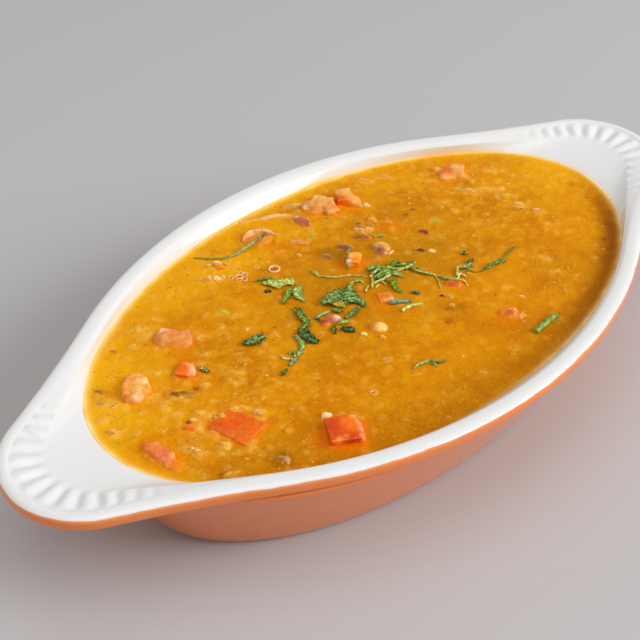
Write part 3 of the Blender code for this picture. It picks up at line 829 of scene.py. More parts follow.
# Each lentil's place, length, width, how far it stands out, its turn and its two colours, in front
# and behind. A paler colour behind is partly the lentil's own and partly a painted highlight along its far
# edge.
LENTILS = (
    (-80.4, 34.7, 3.6, 2.6, 0.3, -40, chart(170, 110, 40), TAN),
    (-94.8, 22.2, 5.0, 3.6, 0.3, -50, chart(150, 96, 40), chart(196, 140, 50)),
    (-97.4, 17.6, 3.4, 2.4, 0.3, -43, chart(190, 140, 70), TAN),
    (-78.6, 5.6, 5.4, 4.4, 0.4, -43, chart(128, 84, 20), chart(176, 118, 30)),
    (-75.6, 2.8, 6.4, 2.8, 0.45, -43, chart(190, 140, 66), chart(140, 94, 30)),
    (-76.4, 4.6, 7.0, 3.0, 0.3, -43, chart(136, 90, 22), chart(160, 108, 30)),
    (-72.2, 3.2, 4.4, 3.4, 0.35, -43, chart(140, 92, 24), OLIVE),
    (-84.4, -8.8, 4.8, 3.2, 0.8, -30, chart(238, 104, 22), chart(246, 150, 60)),
    (-83.2, -6.6, 1.8, 1.4, 0.6, 0, BROWN, BROWN), (-81.6, -6.6, 3.4, 2.4, 0.6, -20, PEACH, CREAM),
    (-89.2, -15.8, 1.8, 1.4, 0.5, -43, CREAM, CREAM),
    (-73.4, -36.2, 5.0, 4.4, 0.5, -50, chart(150, 104, 50), chart(188, 142, 80)),
    (-72.2, -37.4, 4.8, 4.2, 0.45, -55, chart(206, 160, 108), chart(196, 146, 88)),
    (-89.2, -29.6, 1.8, 1.4, 0.3, 0, BROWN, BROWN),
    (-51.6, -32.2, 3.6, 2.9, 1.1, -28, CREAM, chart(255, 240, 210)),
    (2.4, 24.8, 6.2, 4.6, 0.7, -48, chart(138, 98, 50), chart(204, 160, 104)),
    (10.4, 24.4, 6.4, 4.2, 1.3, -40, chart(144, 84, 42), chart(230, 176, 122)),
    (21.4, 27.8, 6.8, 4.2, 1.0, -60, chart(226, 160, 74), chart(240, 194, 122)),
    (23.6, 26.0, 4.6, 3.6, 1.1, -20, chart(230, 164, 76), chart(242, 196, 128)),
    (22.4, 28.6, 2.6, 2.0, 1.5, -20, chart(170, 110, 46), chart(236, 190, 120)),
    (17.6, 25.4, 3.2, 2.6, 0.5, -43, chart(148, 92, 34), OLIVE),
    (24.2, 31.0, 3.0, 2.0, 0.6, -43, chart(160, 104, 40), TAN),
    (26.6, 27.8, 3.6, 2.6, 0.5, -43, chart(196, 140, 60), TAN),
    (32.6, 24.6, 5.0, 3.0, 0.5, -43, chart(236, 140, 40), chart(244, 176, 96)),
    (29.4, 29.6, 6.0, 4.4, 0.5, -43, AMBER, PEACH),
    (20.0, 23.6, 4.4, 3.6, 0.8, -43, chart(170, 110, 50), TAN),
    (37.2, 11.7, 6.4, 4.0, 0.8, -52, chart(140, 60, 30), chart(176, 96, 60)),
    (28.5, 5.0, 3.8, 2.4, 0.6, -43, MAROON, BROWN), (31.2, 2.4, 3.2, 2.2, 0.7, -43, CREAM, CREAM),
    (15.5, -17.0, 2.4, 1.8, 0.5, -45, MAROON, BROWN), (17.0, -18.8, 3.2, 2.2, 0.6, -45, TAN, PEACH),
    (12.3, -23.8, 6.0, 3.6, 0.35, -43, OLIVE, OLIVE),
    (14.6, -22.2, 3.6, 2.4, 0.35, -43, AMBER, PEACH),
    (6.9, -27.7, 3.4, 2.2, 0.25, -43, chart(150, 80, 20), BROWN),
    (-1.9, -42.0, 2.0, 1.6, 0.3, 0, PEACH, CREAM), (34.4, -35.2, 4.2, 2.6, 0.4, -45, AMBER, CREAM),
    (40.2, 23.2, 2.6, 1.4, 0.4, -45, BROWN, BROWN),
    (31.9, 39.4, 3.4, 2.4, 0.9, -60, TAN, CREAM),
    (34.2, 37.6, 3.2, 2.6, 0.8, -60, CREAM, chart(255, 226, 180)),
    (30.6, 40.8, 1.2, 1.0, 0.9, 0, BROWN, BROWN),
    (6.2, 37.0, 5.6, 2.6, 0.35, -43, chart(160, 166, 14), chart(186, 184, 50)),
    (-42.6, 25.8, 6.4, 3.0, 0.4, -43, chart(196, 190, 40), chart(226, 214, 100)),
    (45.4, 13.1, 6.0, 2.4, 0.4, -43, chart(186, 180, 50), chart(210, 196, 90)),
    (65.8, 20.0, 4.6, 2.4, 0.35, -43, chart(170, 172, 30), chart(190, 184, 60)),
    (18.2, 41.2, 3.6, 2.2, 0.3, -43, chart(140, 146, 24), OLIVE),
    (25.0, 20.8, 4.0, 1.8, 0.5, -43, chart(156, 160, 50), chart(180, 176, 80)),
    (0.9, 37.4, 7.4, 2.6, 0.9, -47, chart(234, 150, 70), chart(246, 200, 140)),
    (-3.9, 32.0, 2.6, 1.8, 0.5, -45, PEACH, CREAM),
    (14.5, 55.4, 11.0, 2.4, 0.7, -28, TAN, CREAM),
    (13.6, 52.4, 6.0, 3.2, 0.3, -30, chart(176, 150, 60), OLIVE),
    (10.8, 42.6, 2.6, 2.0, 0.6, -43, TAN, PEACH),
    (44.5, 24.0, 1.8, 1.4, 0.4, 0, BROWN, BROWN),
    (-24.2, 19.0, 4.4, 2.6, 0.3, -45, chart(228, 148, 70), PEACH),
    (-17.2, -13.2, 2.6, 2.0, 0.8, -43, chart(232, 224, 120), CREAM),
    (-13.6, -18.2, 2.4, 2.0, 0.6, -43, PEACH, CREAM), (-40.0, 9.0, 2.2, 1.6, 0.3, 0, OLIVE, OLIVE),
    (-35.6, 8.4, 1.6, 1.4, 0.3, 0, BROWN, OLIVE),
    (-28.4, 45.6, 6.0, 3.4, 0.7, -43, chart(232, 150, 20), chart(238, 168, 50)),
    # The next three pale lentils, in an arc over the orange one above, are a painted highlight along that
    # lump's far edge.
    (-30.4, 48.0, 3.0, 1.4, 0.7, -18, PEACH, CREAM), (-27.9, 47.2, 3.6, 1.4, 0.9, -43, CREAM, CREAM),
    (-26.0, 44.8, 2.8, 1.4, 0.7, -66, PEACH, CREAM), (-35.6, 42.4, 2.8, 1.8, 0.7, -43, PEACH, CREAM),
    (-37.2, 43.8, 2.0, 1.4, 0.5, -43, PEACH, PEACH),
    (-33.2, 40.6, 3.0, 2.2, 0.9, -43, CREAM, chart(255, 236, 200)),
    (-31.4, 40.2, 2.2, 1.6, 0.7, -43, PEACH, CREAM), (-34.4, 43.2, 1.8, 1.2, 0.6, -43, CREAM, CREAM),
    (68.4, 18.2, 6.0, 3.0, 0.3, -48, PEACH, CREAM), (75.0, 0.2, 5.6, 3.0, 0.35, -46, PEACH, CREAM),
    (76.6, -7.0, 5.0, 2.4, 0.35, -46, TAN, CREAM), (73.4, -2.6, 2.2, 1.4, 0.3, -46, OLIVE, TAN),
    (-102.0, 5.4, 3.6, 2.6, 0.5, -43, PEACH, CREAM), (-88.6, -17.8, 3.4, 2.4, 0.5, -30, PEACH, CREAM),
    (-81.6, -20.4, 3.0, 2.2, 0.4, -43, PEACH, PEACH), (-65.6, -17.4, 3.4, 2.4, 0.6, -43, PEACH, CREAM),
    (27.4, -41.4, 3.6, 2.4, 0.35, -43, chart(236, 160, 84), PEACH),
    (24.8, -44.0, 2.2, 1.6, 0.3, -43, TAN, PEACH),
    (44.6, 49.4, 7.6, 1.8, 0.4, -50, chart(226, 170, 96), PEACH),
    (52.0, 46.4, 6.0, 1.8, 0.4, -44, chart(220, 166, 96), PEACH),
)


SMALL_LENTILS, SMALL_SHARE = 800, 0.5


def make_lentils():
    """The lentils of the table, and small ones where they lie close, in colours near the dal's."""
    placed = []
    for x, y, length, width, stands, turn, colour, behind in LENTILS:
        deep = max(width * 0.5, 1.2)
        place = (x * MM, y * MM, skin_height(x, y) + (stands - deep) * MM)
        halves = (length / 2, width / 2, deep)
        placed.append((place, halves, math.radians(turn), colour, behind, 0.12 + 0.2 * stands))
    px, py = inside_dal(SMALL_LENTILS, 0.95)
    for x, y in zip(px, py):
        if chance.uniform() < crowding(np.array([x]), np.array([y]))[0] * SMALL_SHARE:
            size = chance.uniform(0.5, 1.3)
            deep = size * chance.uniform(0.55, 0.8)
            stands = chance.uniform(0.06, 0.26)
            place = (x * MM, y * MM, skin_height(x, y) + (stands - deep) * MM)
            share = chance.uniform(0.0, 0.6)
            colour = mixed(STEW, (PEACH, AMBER, CREAM, AMBER)[int(chance.integers(0, 4))], share)
            halves = (size, size * chance.uniform(0.6, 0.95), deep)
            placed.append((place, halves, chance.uniform(0, 3.1), colour, colour, 0.1))
    return scatter(pressed_ball(3, 4.0, 0.42), placed)


lentil_flesh = cooked("lentil_flesh", 700.0, 0.84, 1.12, 0.0003, 0.36, 0.1, 0.15)
finish_piece(make_lentils(), "lentils", lentil_flesh, "chickpea")


# Diced carrot, boiled soft: cut faces with edges rounded by cooking. Each dice is built of pressed
# blocks and balls, melted into one skin, and painted where it is darker, paler or filmed with dal.
# Its raised edges that face upwards get a painted highlight, and some of its spots are painted
# highlights and painted shade.
def along(points, share):
    """A point of the smooth line through these points, and its direction."""
    spans = len(points) - 1
    index = min(int(share * spans), spans - 1)
    local = share * spans - index
    p1, p2 = Vector(points[index]), Vector(points[index + 1])
    p0 = Vector(points[index - 1]) if index > 0 else p1 * 2 - p2
    p3 = Vector(points[index + 2]) if index + 2 < len(points) else p2 * 2 - p1
    a = 2 * p1 - 2 * p2 + (p2 - p0) / 2 + (p3 - p1) / 2
    b = -3 * p1 + 3 * p2 - (p2 - p0) - (p3 - p1) / 2
    c = (p2 - p0) / 2
    return ((a * local + b) * local + c) * local + p1, ((3 * a * local + 2 * b) * local + c).normalized()


def chain(points, width, depth, stands):
    """Balls along a line of offsets, which melt into a ridge."""
    steps = 3 * (len(points) - 1)
    balls = []
    for index in range(steps + 1):
        place, _ = along(points, index / steps)
        rise = stands * (0.5 + 0.5 * math.sin(math.pi * (0.1 + 0.8 * index / steps)))
        balls.append(("ball", place.x, place.y, rise, width * 1.3, width, depth, 0))
    return balls


# The colour of the painted highlight on the raised edges of a piece that face upwards, and how much of it is
# kept there.
EDGE_HIGHLIGHT_TINT, EDGE_HIGHLIGHT_SHARE = chart(252, 176, 96), 0.28
# The sizes of the folds in its skin and of the patches in its film of dal, in millimetres, and how
# much of the film's colour is kept.
FOLD_SIZE, PATCH_SIZE, FILM_SHARE = 2.8, 1.6, 0.92


def soft_piece(node, parts, base, spots, wrinkle, fineness, film, wet, smooth):
    """parts: (form, to the right, to the back, stands, length, width, depth, turn), from the middle
    of the node and over the level of the dal. spots: (to the right, to the back, radius, colour,
    share). All of them in millimetres and degrees. wet: the colour of its film of dal. Some spots
    are painted highlights and painted shade, and raised edges that face upwards get a painted highlight."""
    low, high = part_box(node)
    middle = (low + high) / 2
    bpy.ops.object.select_all(action="DESELECT")
    made = []
    for form, right, back, stands, length, width, depth, turn in parts:
        place = middle + (RIGHT * right + BACK * back) * MM
        place.z = DAL_LEVEL + (stands - depth / 2) * MM
        settings = {"location": place, "rotation": (0.0, 0.0, math.radians(turn + RIGHT_TURN))}
        if form == "block":
            bpy.ops.mesh.primitive_cube_add(size=1.0, **settings)
        else:
            bpy.ops.mesh.primitive_uv_sphere_add(segments=20, ring_count=12, radius=0.5, **settings)
        bpy.context.object.scale = Vector((length, width, depth)) * MM
        made.append(bpy.context.object)
    for obj in made:
        obj.select_set(True)
    if len(made) > 1:
        bpy.ops.object.join()
    piece = bpy.context.object
    bpy.ops.object.transform_apply(location=True, rotation=True, scale=True)
    apply_modifier(piece, "REMESH", mode="VOXEL", voxel_size=fineness * MM)
    apply_modifier(piece, "SMOOTH", factor=0.5, iterations=smooth)
    seed = Vector((sum(map(ord, node)) % 97, 0.0, 0.0))
    mesh = piece.data
    folds = [noise.fractal(vert.co / (FOLD_SIZE * MM) + seed, 1.0, 2.0, 3) for vert in mesh.vertices]
    moves = [vert.normal * fold for vert, fold in zip(mesh.vertices, folds)]
    for vert, move in zip(mesh.vertices, moves):
        vert.co += move * wrinkle * MM
    points = np.array([vert.co for vert in mesh.vertices])
    facing = np.array([vert.normal for vert in mesh.vertices])
    offsets = (points - np.array(middle)) / MM
    right, back = offsets @ np.array(RIGHT), offsets @ np.array(BACK)
    tints = np.tile(np.array(base, np.float64), (len(points), 1))
    for at_right, at_back, radius, colour, share in spots:
        away = ((right - at_right) ** 2 + (back - at_back) ** 2) / radius**2
        weight = (share * np.exp(-(away**1.5)))[:, None]
        tints = tints * (1 - weight) + np.array(colour) * weight
    ends = np.array([tuple(edge.vertices) for edge in mesh.edges])
    span = points[ends[:, 0]] - points[ends[:, 1]]
    length = np.linalg.norm(span, axis=1)
    bulge, count = np.zeros(len(points)), np.zeros(len(points))
    for one, way in ((0, 1.0), (1, -1.0)):
        np.add.at(bulge, ends[:, one], way * (facing[ends[:, one]] * span).sum(1) / length)
        np.add.at(count, ends[:, one], 1.0)
    # Painted highlight: raised edges that face upwards are lightened towards the highlight tint.
    edge = np.clip(bulge / count * 5.0 - 0.4, 0.0, EDGE_HIGHLIGHT_SHARE)[:, None]
    edge = edge * np.clip(facing[:, 2:] + 0.4, 0.0, 1.0)
    tints = tints * (1 - edge) + np.array(EDGE_HIGHLIGHT_TINT) * edge
    uneven = np.array([noise.noise(co / (PATCH_SIZE * MM)) for co in points])
    over = np.array([(co[2] - skin_height(co[0] / MM, co[1] / MM)) / MM for co in points])
    filmed = FILM_SHARE * np.exp(-((np.clip(over, 0.0, None) / (film * (1.0 + 0.7 * uneven))) ** 2))[:, None]
    tints = tints * (1 - filmed) + np.array(wet) * filmed
    paint(mesh, tints)
    mesh.shade_smooth()
    return piece


carrot_flesh = cooked("carrot_flesh", 420.0, 0.88, 1.06, 0.0002, 0.3, 0.12, 0.25)
# Of these carrot colours, the deeper red is partly painted shade and the brighter orange is partly painted
# light.
CARROT, CARROT_RED_AND_SHADE, CARROT_BRIGHT_AND_LIT = chart(234, 92, 6), chart(204, 58, 2), chart(250, 124, 16)
CLEAR = chart(252, 216, 172)
CARROTS = {
    "carrot_front": (
        (
            ("block", -0.5, 0.5, 2.3, 9.6, 10.4, 8, 12), ("ball", 3.6, 1.2, 2.0, 4.4, 9.0, 6, 14),
            *chain(((3.4, 6.0), (4.8, 1.8), (5.6, -2.6)), 1.3, 5, 2.4),
        ),
        CARROT,
        (
            # On this dice the deeper red at the left and on the near face is partly painted shade, the bright
            # orange at the upper right is painted light, the pale spots just over the near face are a painted
            # highlight along its edge, and the pale spots at the right are partly the ridge's skin and partly
            # a painted highlight.
            (-3.6, 0.4, 4.2, CARROT_RED_AND_SHADE, 0.7), (2.2, 2.4, 3.4, CARROT_BRIGHT_AND_LIT, 0.9),
            (2.4, -4.4, 2.6, CARROT_RED_AND_SHADE, 0.95), (-1.6, -4.4, 1.1, chart(250, 160, 80), 0.7),
            (0.4, -3.0, 0.9, chart(248, 140, 60), 0.6), (2.6, 5.8, 1.4, chart(252, 176, 80), 0.9),
            (4.4, 3.0, 1.3, chart(240, 168, 104), 0.9), (5.0, 0.6, 1.2, chart(226, 160, 116), 0.9),
            (5.6, -2.4, 1.3, chart(236, 160, 100), 0.9),
        ),
    ),
    "carrot_wedge": (
        (("block", 0, 0, 0.9, 11.0, 13.8, 6, 57),), chart(236, 92, 8),
        (
            # The paler spot at the lower left is a painted highlight along its edge.
            (-5.0, -1.0, 3.0, CARROT_RED_AND_SHADE, 0.5), (3.0, -5.0, 3.6, chart(242, 108, 20), 0.8),
            (-2.0, -3.4, 2.0, chart(244, 120, 44), 0.6), (6.6, 0.4, 2.0, CARROT_BRIGHT_AND_LIT, 0.6),
        ),
    ),
    "carrot_back": (
        (
            ("ball", 0.2, 0.0, 1.1, 13.0, 7.6, 6, -3),
            *chain(((-5.8, -1.4), (-4.6, 1.8), (-1.4, 3.6), (2.6, 3.6), (6.0, 2.0)), 1.1, 3, 2.4),
        ),
        chart(236, 152, 54),
        (
            # The pale spots along the arched ridge are a painted highlight on its top edge.
            (-5.4, 0.2, 1.6, chart(238, 164, 100), 0.9), (-3.2, 2.9, 1.3, chart(248, 212, 172), 0.9),
            (0.0, 3.8, 1.8, chart(250, 214, 174), 0.95), (2.8, 3.7, 1.7, chart(248, 208, 168), 0.95),
            (5.4, 2.4, 1.6, chart(244, 196, 160), 0.95), (0.0, -1.2, 3.4, chart(236, 146, 40), 0.8),
        ),
    ),
    "carrot_top": (
        (
            ("ball", -0.4, 1.4, 3.2, 8.2, 9.2, 8, 4), ("block", -0.7, 0.6, 3.0, 6.0, 7.4, 7, 10),
            ("ball", 2.8, -0.8, 2.4, 5.6, 6.0, 5, 0), ("ball", 4.6, -2.8, 1.4, 3.6, 3.2, 4, 0),
        ),
        chart(238, 170, 76),
        (
            (-1.6, -3.4, 2.8, chart(232, 104, 2), 1.0), (-3.2, -1.4, 1.8, chart(226, 96, 4), 0.9),
            (0.4, 3.0, 2.6, chart(242, 186, 100), 0.7), (3.4, -2.4, 2.0, chart(236, 160, 70), 0.8),
        ),
    ),
    "carrot_far": (
        (
            ("ball", -0.6, -0.4, 2.1, 8.6, 8.4, 5, 8), ("block", 2.9, 1.4, 2.0, 5.6, 5.6, 5, -12),
            ("ball", 4.0, -1.2, 1.6, 5.0, 4.6, 4, 0), ("ball", -4.4, 1.8, 1.7, 4.6, 4.8, 4, 0),
            ("ball", -2.2, -3.6, 1.2, 5.4, 3.2, 3, 0),
        ),
        chart(232, 156, 74),
        (
            (-0.8, -0.2, 2.4, chart(228, 104, 8), 1.0), (3.2, 1.8, 2.2, chart(242, 186, 116), 0.8),
            (4.4, -1.6, 1.6, chart(238, 160, 80), 0.7), (-4.4, 2.0, 1.8, chart(244, 180, 70), 0.8),
            (-2.0, -3.8, 1.4, chart(240, 180, 90), 0.7),
        ),
    ),
    "carrot_small": (
        (("block", -0.9, 0.2, 1.7, 4.6, 6.0, 6, -14), ("ball", 1.5, 0.0, 1.6, 3.2, 6.2, 5, 12)),
        chart(248, 120, 10),
        (
            # The pale pink spots at the right are a painted highlight on its right side.
            (2.3, 0.4, 1.7, chart(242, 196, 160), 0.95), (1.8, -1.6, 1.4, chart(240, 180, 140), 0.8),
            (-1.8, 0.4, 1.8, chart(240, 104, 6), 0.7), (0.6, 2.4, 1.1, chart(250, 190, 120), 0.7),
        ),
    ),
    "carrot_middle": (
        (("block", 0.4, 0.2, 2.6, 4.8, 5.6, 6, -12), ("ball", -1.4, -1.2, 2.0, 2.6, 5.0, 4, 20)),
        chart(248, 156, 26),
        (
            # The dark red at the left is painted shade on its left side, and the cream spots at the front
            # left are a painted highlight along its edge.
            (-2.6, -0.2, 1.5, chart(150, 46, 4), 0.95), (-1.2, -1.8, 0.9, chart(255, 226, 190), 1.0),
            (-0.6, 0.4, 0.8, chart(252, 206, 150), 0.8), (1.6, 2.2, 1.6, chart(250, 184, 90), 0.8),
            (1.2, -1.6, 1.8, chart(242, 140, 14), 0.7),
        ),
    ),
    "carrot_centre": (
        (("block", 0, 0.2, 1.0, 5.0, 5.6, 5, 13), ("ball", 1.6, -1.0, 0.9, 3.4, 4.4, 4, 0)),
        chart(236, 130, 14),
        (
            # The pale spots at the lower right are painted glints.
            (0.6, -2.0, 1.2, chart(250, 200, 120), 0.7), (2.2, -1.2, 1.1, chart(250, 204, 140), 0.8),
            (-1.0, 1.0, 1.8, chart(232, 114, 4), 0.7), (0.8, 1.8, 1.2, chart(244, 160, 60), 0.6),
        ),
    ),
}
for node, (parts, base, spots) in CARROTS.items():
    film, wet = (0.45, chart(226, 142, 24)) if node in PALE_CARROTS else (0.5, chart(226, 114, 0))
    carrot = soft_piece(node, parts, base, spots, 0.24, 0.32, film, wet, 20)
    finish_piece(carrot, node + "_cooked", carrot_flesh, "carrot", node)


# Tomato, cut up and cooked until its flesh is loose: soft lobes with a torn, glossy skin that is
# pink where it thins and oily yellow where the dal lies on it.
tomato_flesh = cooked("tomato_flesh", 620.0, 0.86, 1.08, 0.0003, 0.26, 0.12, 0.3)
TOMATOES = {
    "tomato_long": (
        (
            ("ball", 0.1, -0.7, 1.6, 19.0, 6.4, 5, -43), ("block", -0.2, 0.4, 1.6, 8.6, 4.6, 4, -38),
            ("ball", -2.8, 2.2, 1.8, 8.0, 5.8, 5, -43),
        ),
        chart(238, 118, 40),
        (
            # The pale spots at (3.6, -1.4) and (6.2, -3.6) are a painted highlight along its right edge.
            (-3.6, 2.6, 3.0, chart(242, 136, 50), 0.8), (0.2, -1.4, 3.0, chart(236, 128, 80), 0.9),
            (2.8, -4.4, 1.8, chart(238, 130, 76), 0.8), (3.6, -1.4, 1.2, chart(250, 170, 90), 0.8),
            (-1.0, 3.0, 1.2, chart(250, 160, 80), 0.6), (5.4, -5.2, 2.2, chart(236, 108, 16), 0.9),
            (6.2, -3.6, 1.0, chart(250, 180, 100), 0.7), (-1.6, -3.4, 1.4, chart(226, 92, 16), 0.8),
        ),
    ),
    "tomato_left": (
        (
            ("ball", 0.4, 0.2, 2.3, 9.4, 11.6, 7, 10), ("block", 0.9, 0.4, 2.0, 6.0, 7.2, 6, 14),
            ("ball", -0.8, 2.6, 2.4, 6.6, 7.6, 7, 0), ("ball", -0.2, -3.4, 1.8, 8.0, 7.0, 6, 20),
            *chain(((-2.6, -5.0), (-3.8, -1.8), (-3.4, 2.4), (-1.0, 5.6), (1.6, 5.4)), 2.0, 5, 2.7),
        ),
        chart(246, 178, 70),
        (
            # The cream spots at (2.2, 2.2) and (0.6, -4.4) are painted highlights.
            (-4.0, -1.6, 1.7, chart(236, 132, 60), 0.95), (-3.2, 2.6, 1.9, chart(238, 140, 76), 0.95),
            (-0.8, 5.6, 2.2, chart(240, 152, 90), 0.95), (-2.8, -4.6, 1.7, chart(234, 112, 36), 0.9),
            (-0.6, 1.6, 1.8, chart(244, 170, 90), 0.7), (2.2, 2.2, 1.5, chart(255, 226, 150), 0.9),
            (0.8, -1.4, 1.5, chart(252, 204, 110), 0.8), (0.6, -4.4, 1.7, chart(252, 196, 140), 0.9),
            (3.6, -1.6, 2.0, chart(240, 164, 50), 0.7),
        ),
    ),
    "tomato_pale": (
        (
            ("ball", -2.8, 0.4, 2.0, 8.4, 10.0, 7, -12), ("block", -2.2, 1.4, 1.6, 5.6, 5.6, 6, -8),
            ("block", 2.6, 0.8, 1.3, 6.4, 5.6, 5, 14), ("ball", 1.6, -1.4, 1.3, 10.6, 6.8, 4, 0),
        ),
        chart(232, 150, 66),
        (
            (-4.4, 3.2, 1.7, CLEAR, 0.7), (-1.8, 4.4, 1.5, CLEAR, 0.6),
            (3.4, 1.4, 2.8, chart(236, 156, 92), 0.8), (-2.6, -0.4, 2.6, chart(230, 146, 84), 0.7),
            (0.6, -3.0, 2.2, chart(228, 132, 36), 0.7), (0.4, 1.4, 1.4, chart(226, 130, 56), 0.7),
        ),
    ),
    "tomato_top": (
        (
            ("ball", 1.0, 1.2, 2.7, 11.6, 9.4, 7, -14), ("block", 1.0, 1.2, 2.4, 7.6, 7.2, 6, -16),
            ("ball", -2.8, 1.2, 2.2, 6.4, 6.0, 7, 0), ("block", 4.2, -1.8, 1.9, 4.8, 5.6, 6, 22),
            ("ball", -0.8, -3.2, 1.6, 8.2, 3.6, 4, 8), ("ball", -4.8, -0.4, 1.5, 3.8, 4.4, 3, 0),
        ),
        chart(238, 172, 82),
        (
            (-1.8, 3.8, 1.6, chart(246, 194, 120), 0.8), (1.4, 4.8, 1.8, chart(244, 190, 114), 0.8),
            (3.8, 3.4, 1.6, chart(240, 180, 96), 0.7), (4.2, -1.8, 2.6, chart(238, 138, 72), 0.9),
            (-1.2, -0.4, 1.4, chart(230, 146, 60), 0.7), (-1.6, -3.4, 1.6, chart(238, 140, 50), 0.8),
            (-4.6, -1.6, 1.4, CLEAR, 0.7),
        ),
    ),
    "tomato_right": (
        (
            ("ball", 0, 0, 1.2, 7.4, 6.0, 4, 0), ("ball", 0.8, 0.8, 1.6, 4.4, 4.6, 3, 0),
            ("ball", 3.0, -1.4, 1.0, 3.6, 3.2, 3, 0), ("ball", -2.6, 0.6, 0.9, 3.4, 4.0, 3, 0),
        ),
        chart(234, 138, 52),
        (
            # The pale spots at the top, (-0.4, 2.2) and (1.9, 1.2), are painted highlights.
            (-0.4, 2.2, 1.0, chart(246, 190, 116), 0.8), (1.9, 1.2, 0.9, chart(248, 196, 128), 0.9),
            (2.6, -1.6, 1.1, chart(240, 170, 90), 0.8), (-0.3, -0.2, 1.4, chart(216, 82, 8), 0.95),
            (-2.8, 0.4, 1.2, chart(226, 130, 40), 0.8),
        ),
    ),
    "tomato_centre": (
        (("ball", 0, 0, 1.2, 7.6, 4.8, 4, -7),),
        chart(218, 84, 30),
        (
            (-2.2, 0.8, 1.6, chart(226, 112, 60), 0.8), (-0.6, -1.2, 1.2, chart(196, 56, 12), 0.8),
            (2.6, -0.4, 1.4, chart(232, 140, 60), 0.6),
        ),
    ),
}
for node, (parts, base, spots) in TOMATOES.items():
    film = 0.35 if node in ("tomato_right", "tomato_centre") else 0.75
    tomato = soft_piece(node, parts, base, spots, 0.26, 0.32, film, chart(228, 134, 4), 24)
    finish_piece(tomato, node + "_cooked", tomato_flesh, "tomato", node)


# Beans and one chickpea, boiled whole: tight skins with a fold or a split in them. They are built
# like the carrots, but smoothed less, so that their skins stay firm.
bean_skin = cooked("bean_skin", 380.0, 0.84, 1.1, 0.0001, 0.2, 0.08, 0.4)
BEANS = {
    "bean_red": (
        (
            ("ball", 0.2, 0, 1.4, 9.6, 4.6, 4, -35),
            *chain(((-4.8, 1.8), (-1.6, 2.6), (1.8, 1.2), (3.6, -1.0)), 0.9, 3, 1.7),
        ),
        chart(184, 104, 66),
        (
            # The greyish pink at the left is a painted sheen, and the pale spots along the back are a painted
            # highlight along its back edge.
            (2.6, -1.6, 2.0, chart(164, 64, 34), 0.9), (-2.8, 1.0, 2.0, chart(186, 120, 90), 0.8),
            (-4.6, 2.0, 1.4, chart(230, 194, 150), 0.9), (-1.4, 2.8, 1.1, chart(234, 196, 150), 0.9),
            (2.0, 1.4, 1.0, chart(222, 160, 110), 0.8),
        ),
    ),
    "bean_brown": (
        (
            ("ball", 0, 0.8, 2.2, 7.8, 6.0, 6, -6), ("ball", 0.2, -1.8, 1.7, 5.4, 4.6, 5, 0),
            *chain(((2.6, -3.0), (4.2, -1.2)), 1.1, 3, 1.2),
        ),
        chart(222, 164, 76),
        (
            (-0.2, -2.3, 2.1, chart(160, 88, 46), 1.0), (-3.0, -0.4, 1.1, chart(150, 92, 40), 0.7),
            (0.0, 2.0, 1.8, chart(236, 188, 100), 0.7), (3.6, -1.8, 1.2, chart(246, 202, 110), 0.9),
        ),
    ),
    "bean_pink": (
        (("ball", 0.9, 0.5, 1.8, 6.0, 5.4, 5, 0), ("ball", -2.0, -1.0, 1.2, 4.0, 4.0, 4, -10)),
        chart(228, 142, 90),
        (
            # The pale pink spot at the right is a painted highlight.
            (-2.2, -1.4, 2.1, chart(158, 50, 26), 0.95), (0.4, -2.2, 1.5, chart(190, 84, 44), 0.8),
            (2.2, 0.8, 1.4, chart(252, 206, 176), 0.9), (-0.8, 2.0, 1.4, chart(214, 110, 70), 0.7),
        ),
    ),
}
for node, (parts, base, spots) in BEANS.items():
    bean = soft_piece(node, parts, base, spots, 0.16, 0.27, 0.35, chart(214, 126, 20), 7)
    finish_piece(bean, node + "_cooked", bean_skin, "bean", node)
chickpea = soft_piece(
    "chickpea", (("ball", 0, 0, 1.9, 7.0, 6.0, 5, 0), ("ball", 1.2, -0.6, 1.6, 3.6, 3.6, 4, 0)),
    chart(240, 176, 70),
    (
        # The pale yellow spots at the lower right and at the back right are painted highlights.
        (1.0, -1.0, 1.7, chart(252, 222, 128), 0.9), (-1.8, 1.0, 1.4, chart(234, 150, 70), 0.8),
        (1.4, 2.0, 1.1, chart(250, 206, 130), 0.8), (-2.6, -1.2, 1.2, chart(224, 134, 30), 0.7),
    ),
    0.24, 0.27, 0.4, chart(226, 140, 24), 7,
)
chickpea_skin = cooked("chickpea_skin", 380.0, 0.9, 1.05, 0.0001, 0.24, 0.1, 0.35)
finish_piece(chickpea, "chickpea_cooked", chickpea_skin, "chickpea", "chickpea")


# A sliver of onion, cooked clear, curls out of the dal at the far side. It is two rows of flat
# balls, melted into one bent slice.
onion = soft_piece(
    "onion_strip",
    (
        *chain(
            ((-10.4, -3.0), (-6.6, -2.0), (-2.0, -0.2), (2.6, 1.2), (6.4, 1.0), (9.8, -1.2)), 1.7, 1.8, 1.0,
        ),
        *chain(((-3.0, -0.8), (1.4, 0.6), (5.6, 0.8)), 2.9, 2.4, 1.1),
    ),
    chart(232, 194, 130),
    (
        (-7.0, -2.2, 2.6, chart(216, 172, 110), 0.8), (-1.0, 0.0, 2.2, chart(236, 202, 150), 0.8),
        (4.0, 1.2, 2.2, chart(240, 206, 160), 0.8), (9.0, 0.0, 2.0, chart(222, 160, 90), 0.8),
    ),
    0.2, 0.25, 0.5, chart(232, 160, 40), 6,
)
onion_flesh = cooked("onion_flesh", 500.0, 0.92, 1.05, 0.0001, 0.2, 0.15, 0.35)
finish_piece(onion, "onion_sliver", onion_flesh, "onion", "onion_strip")


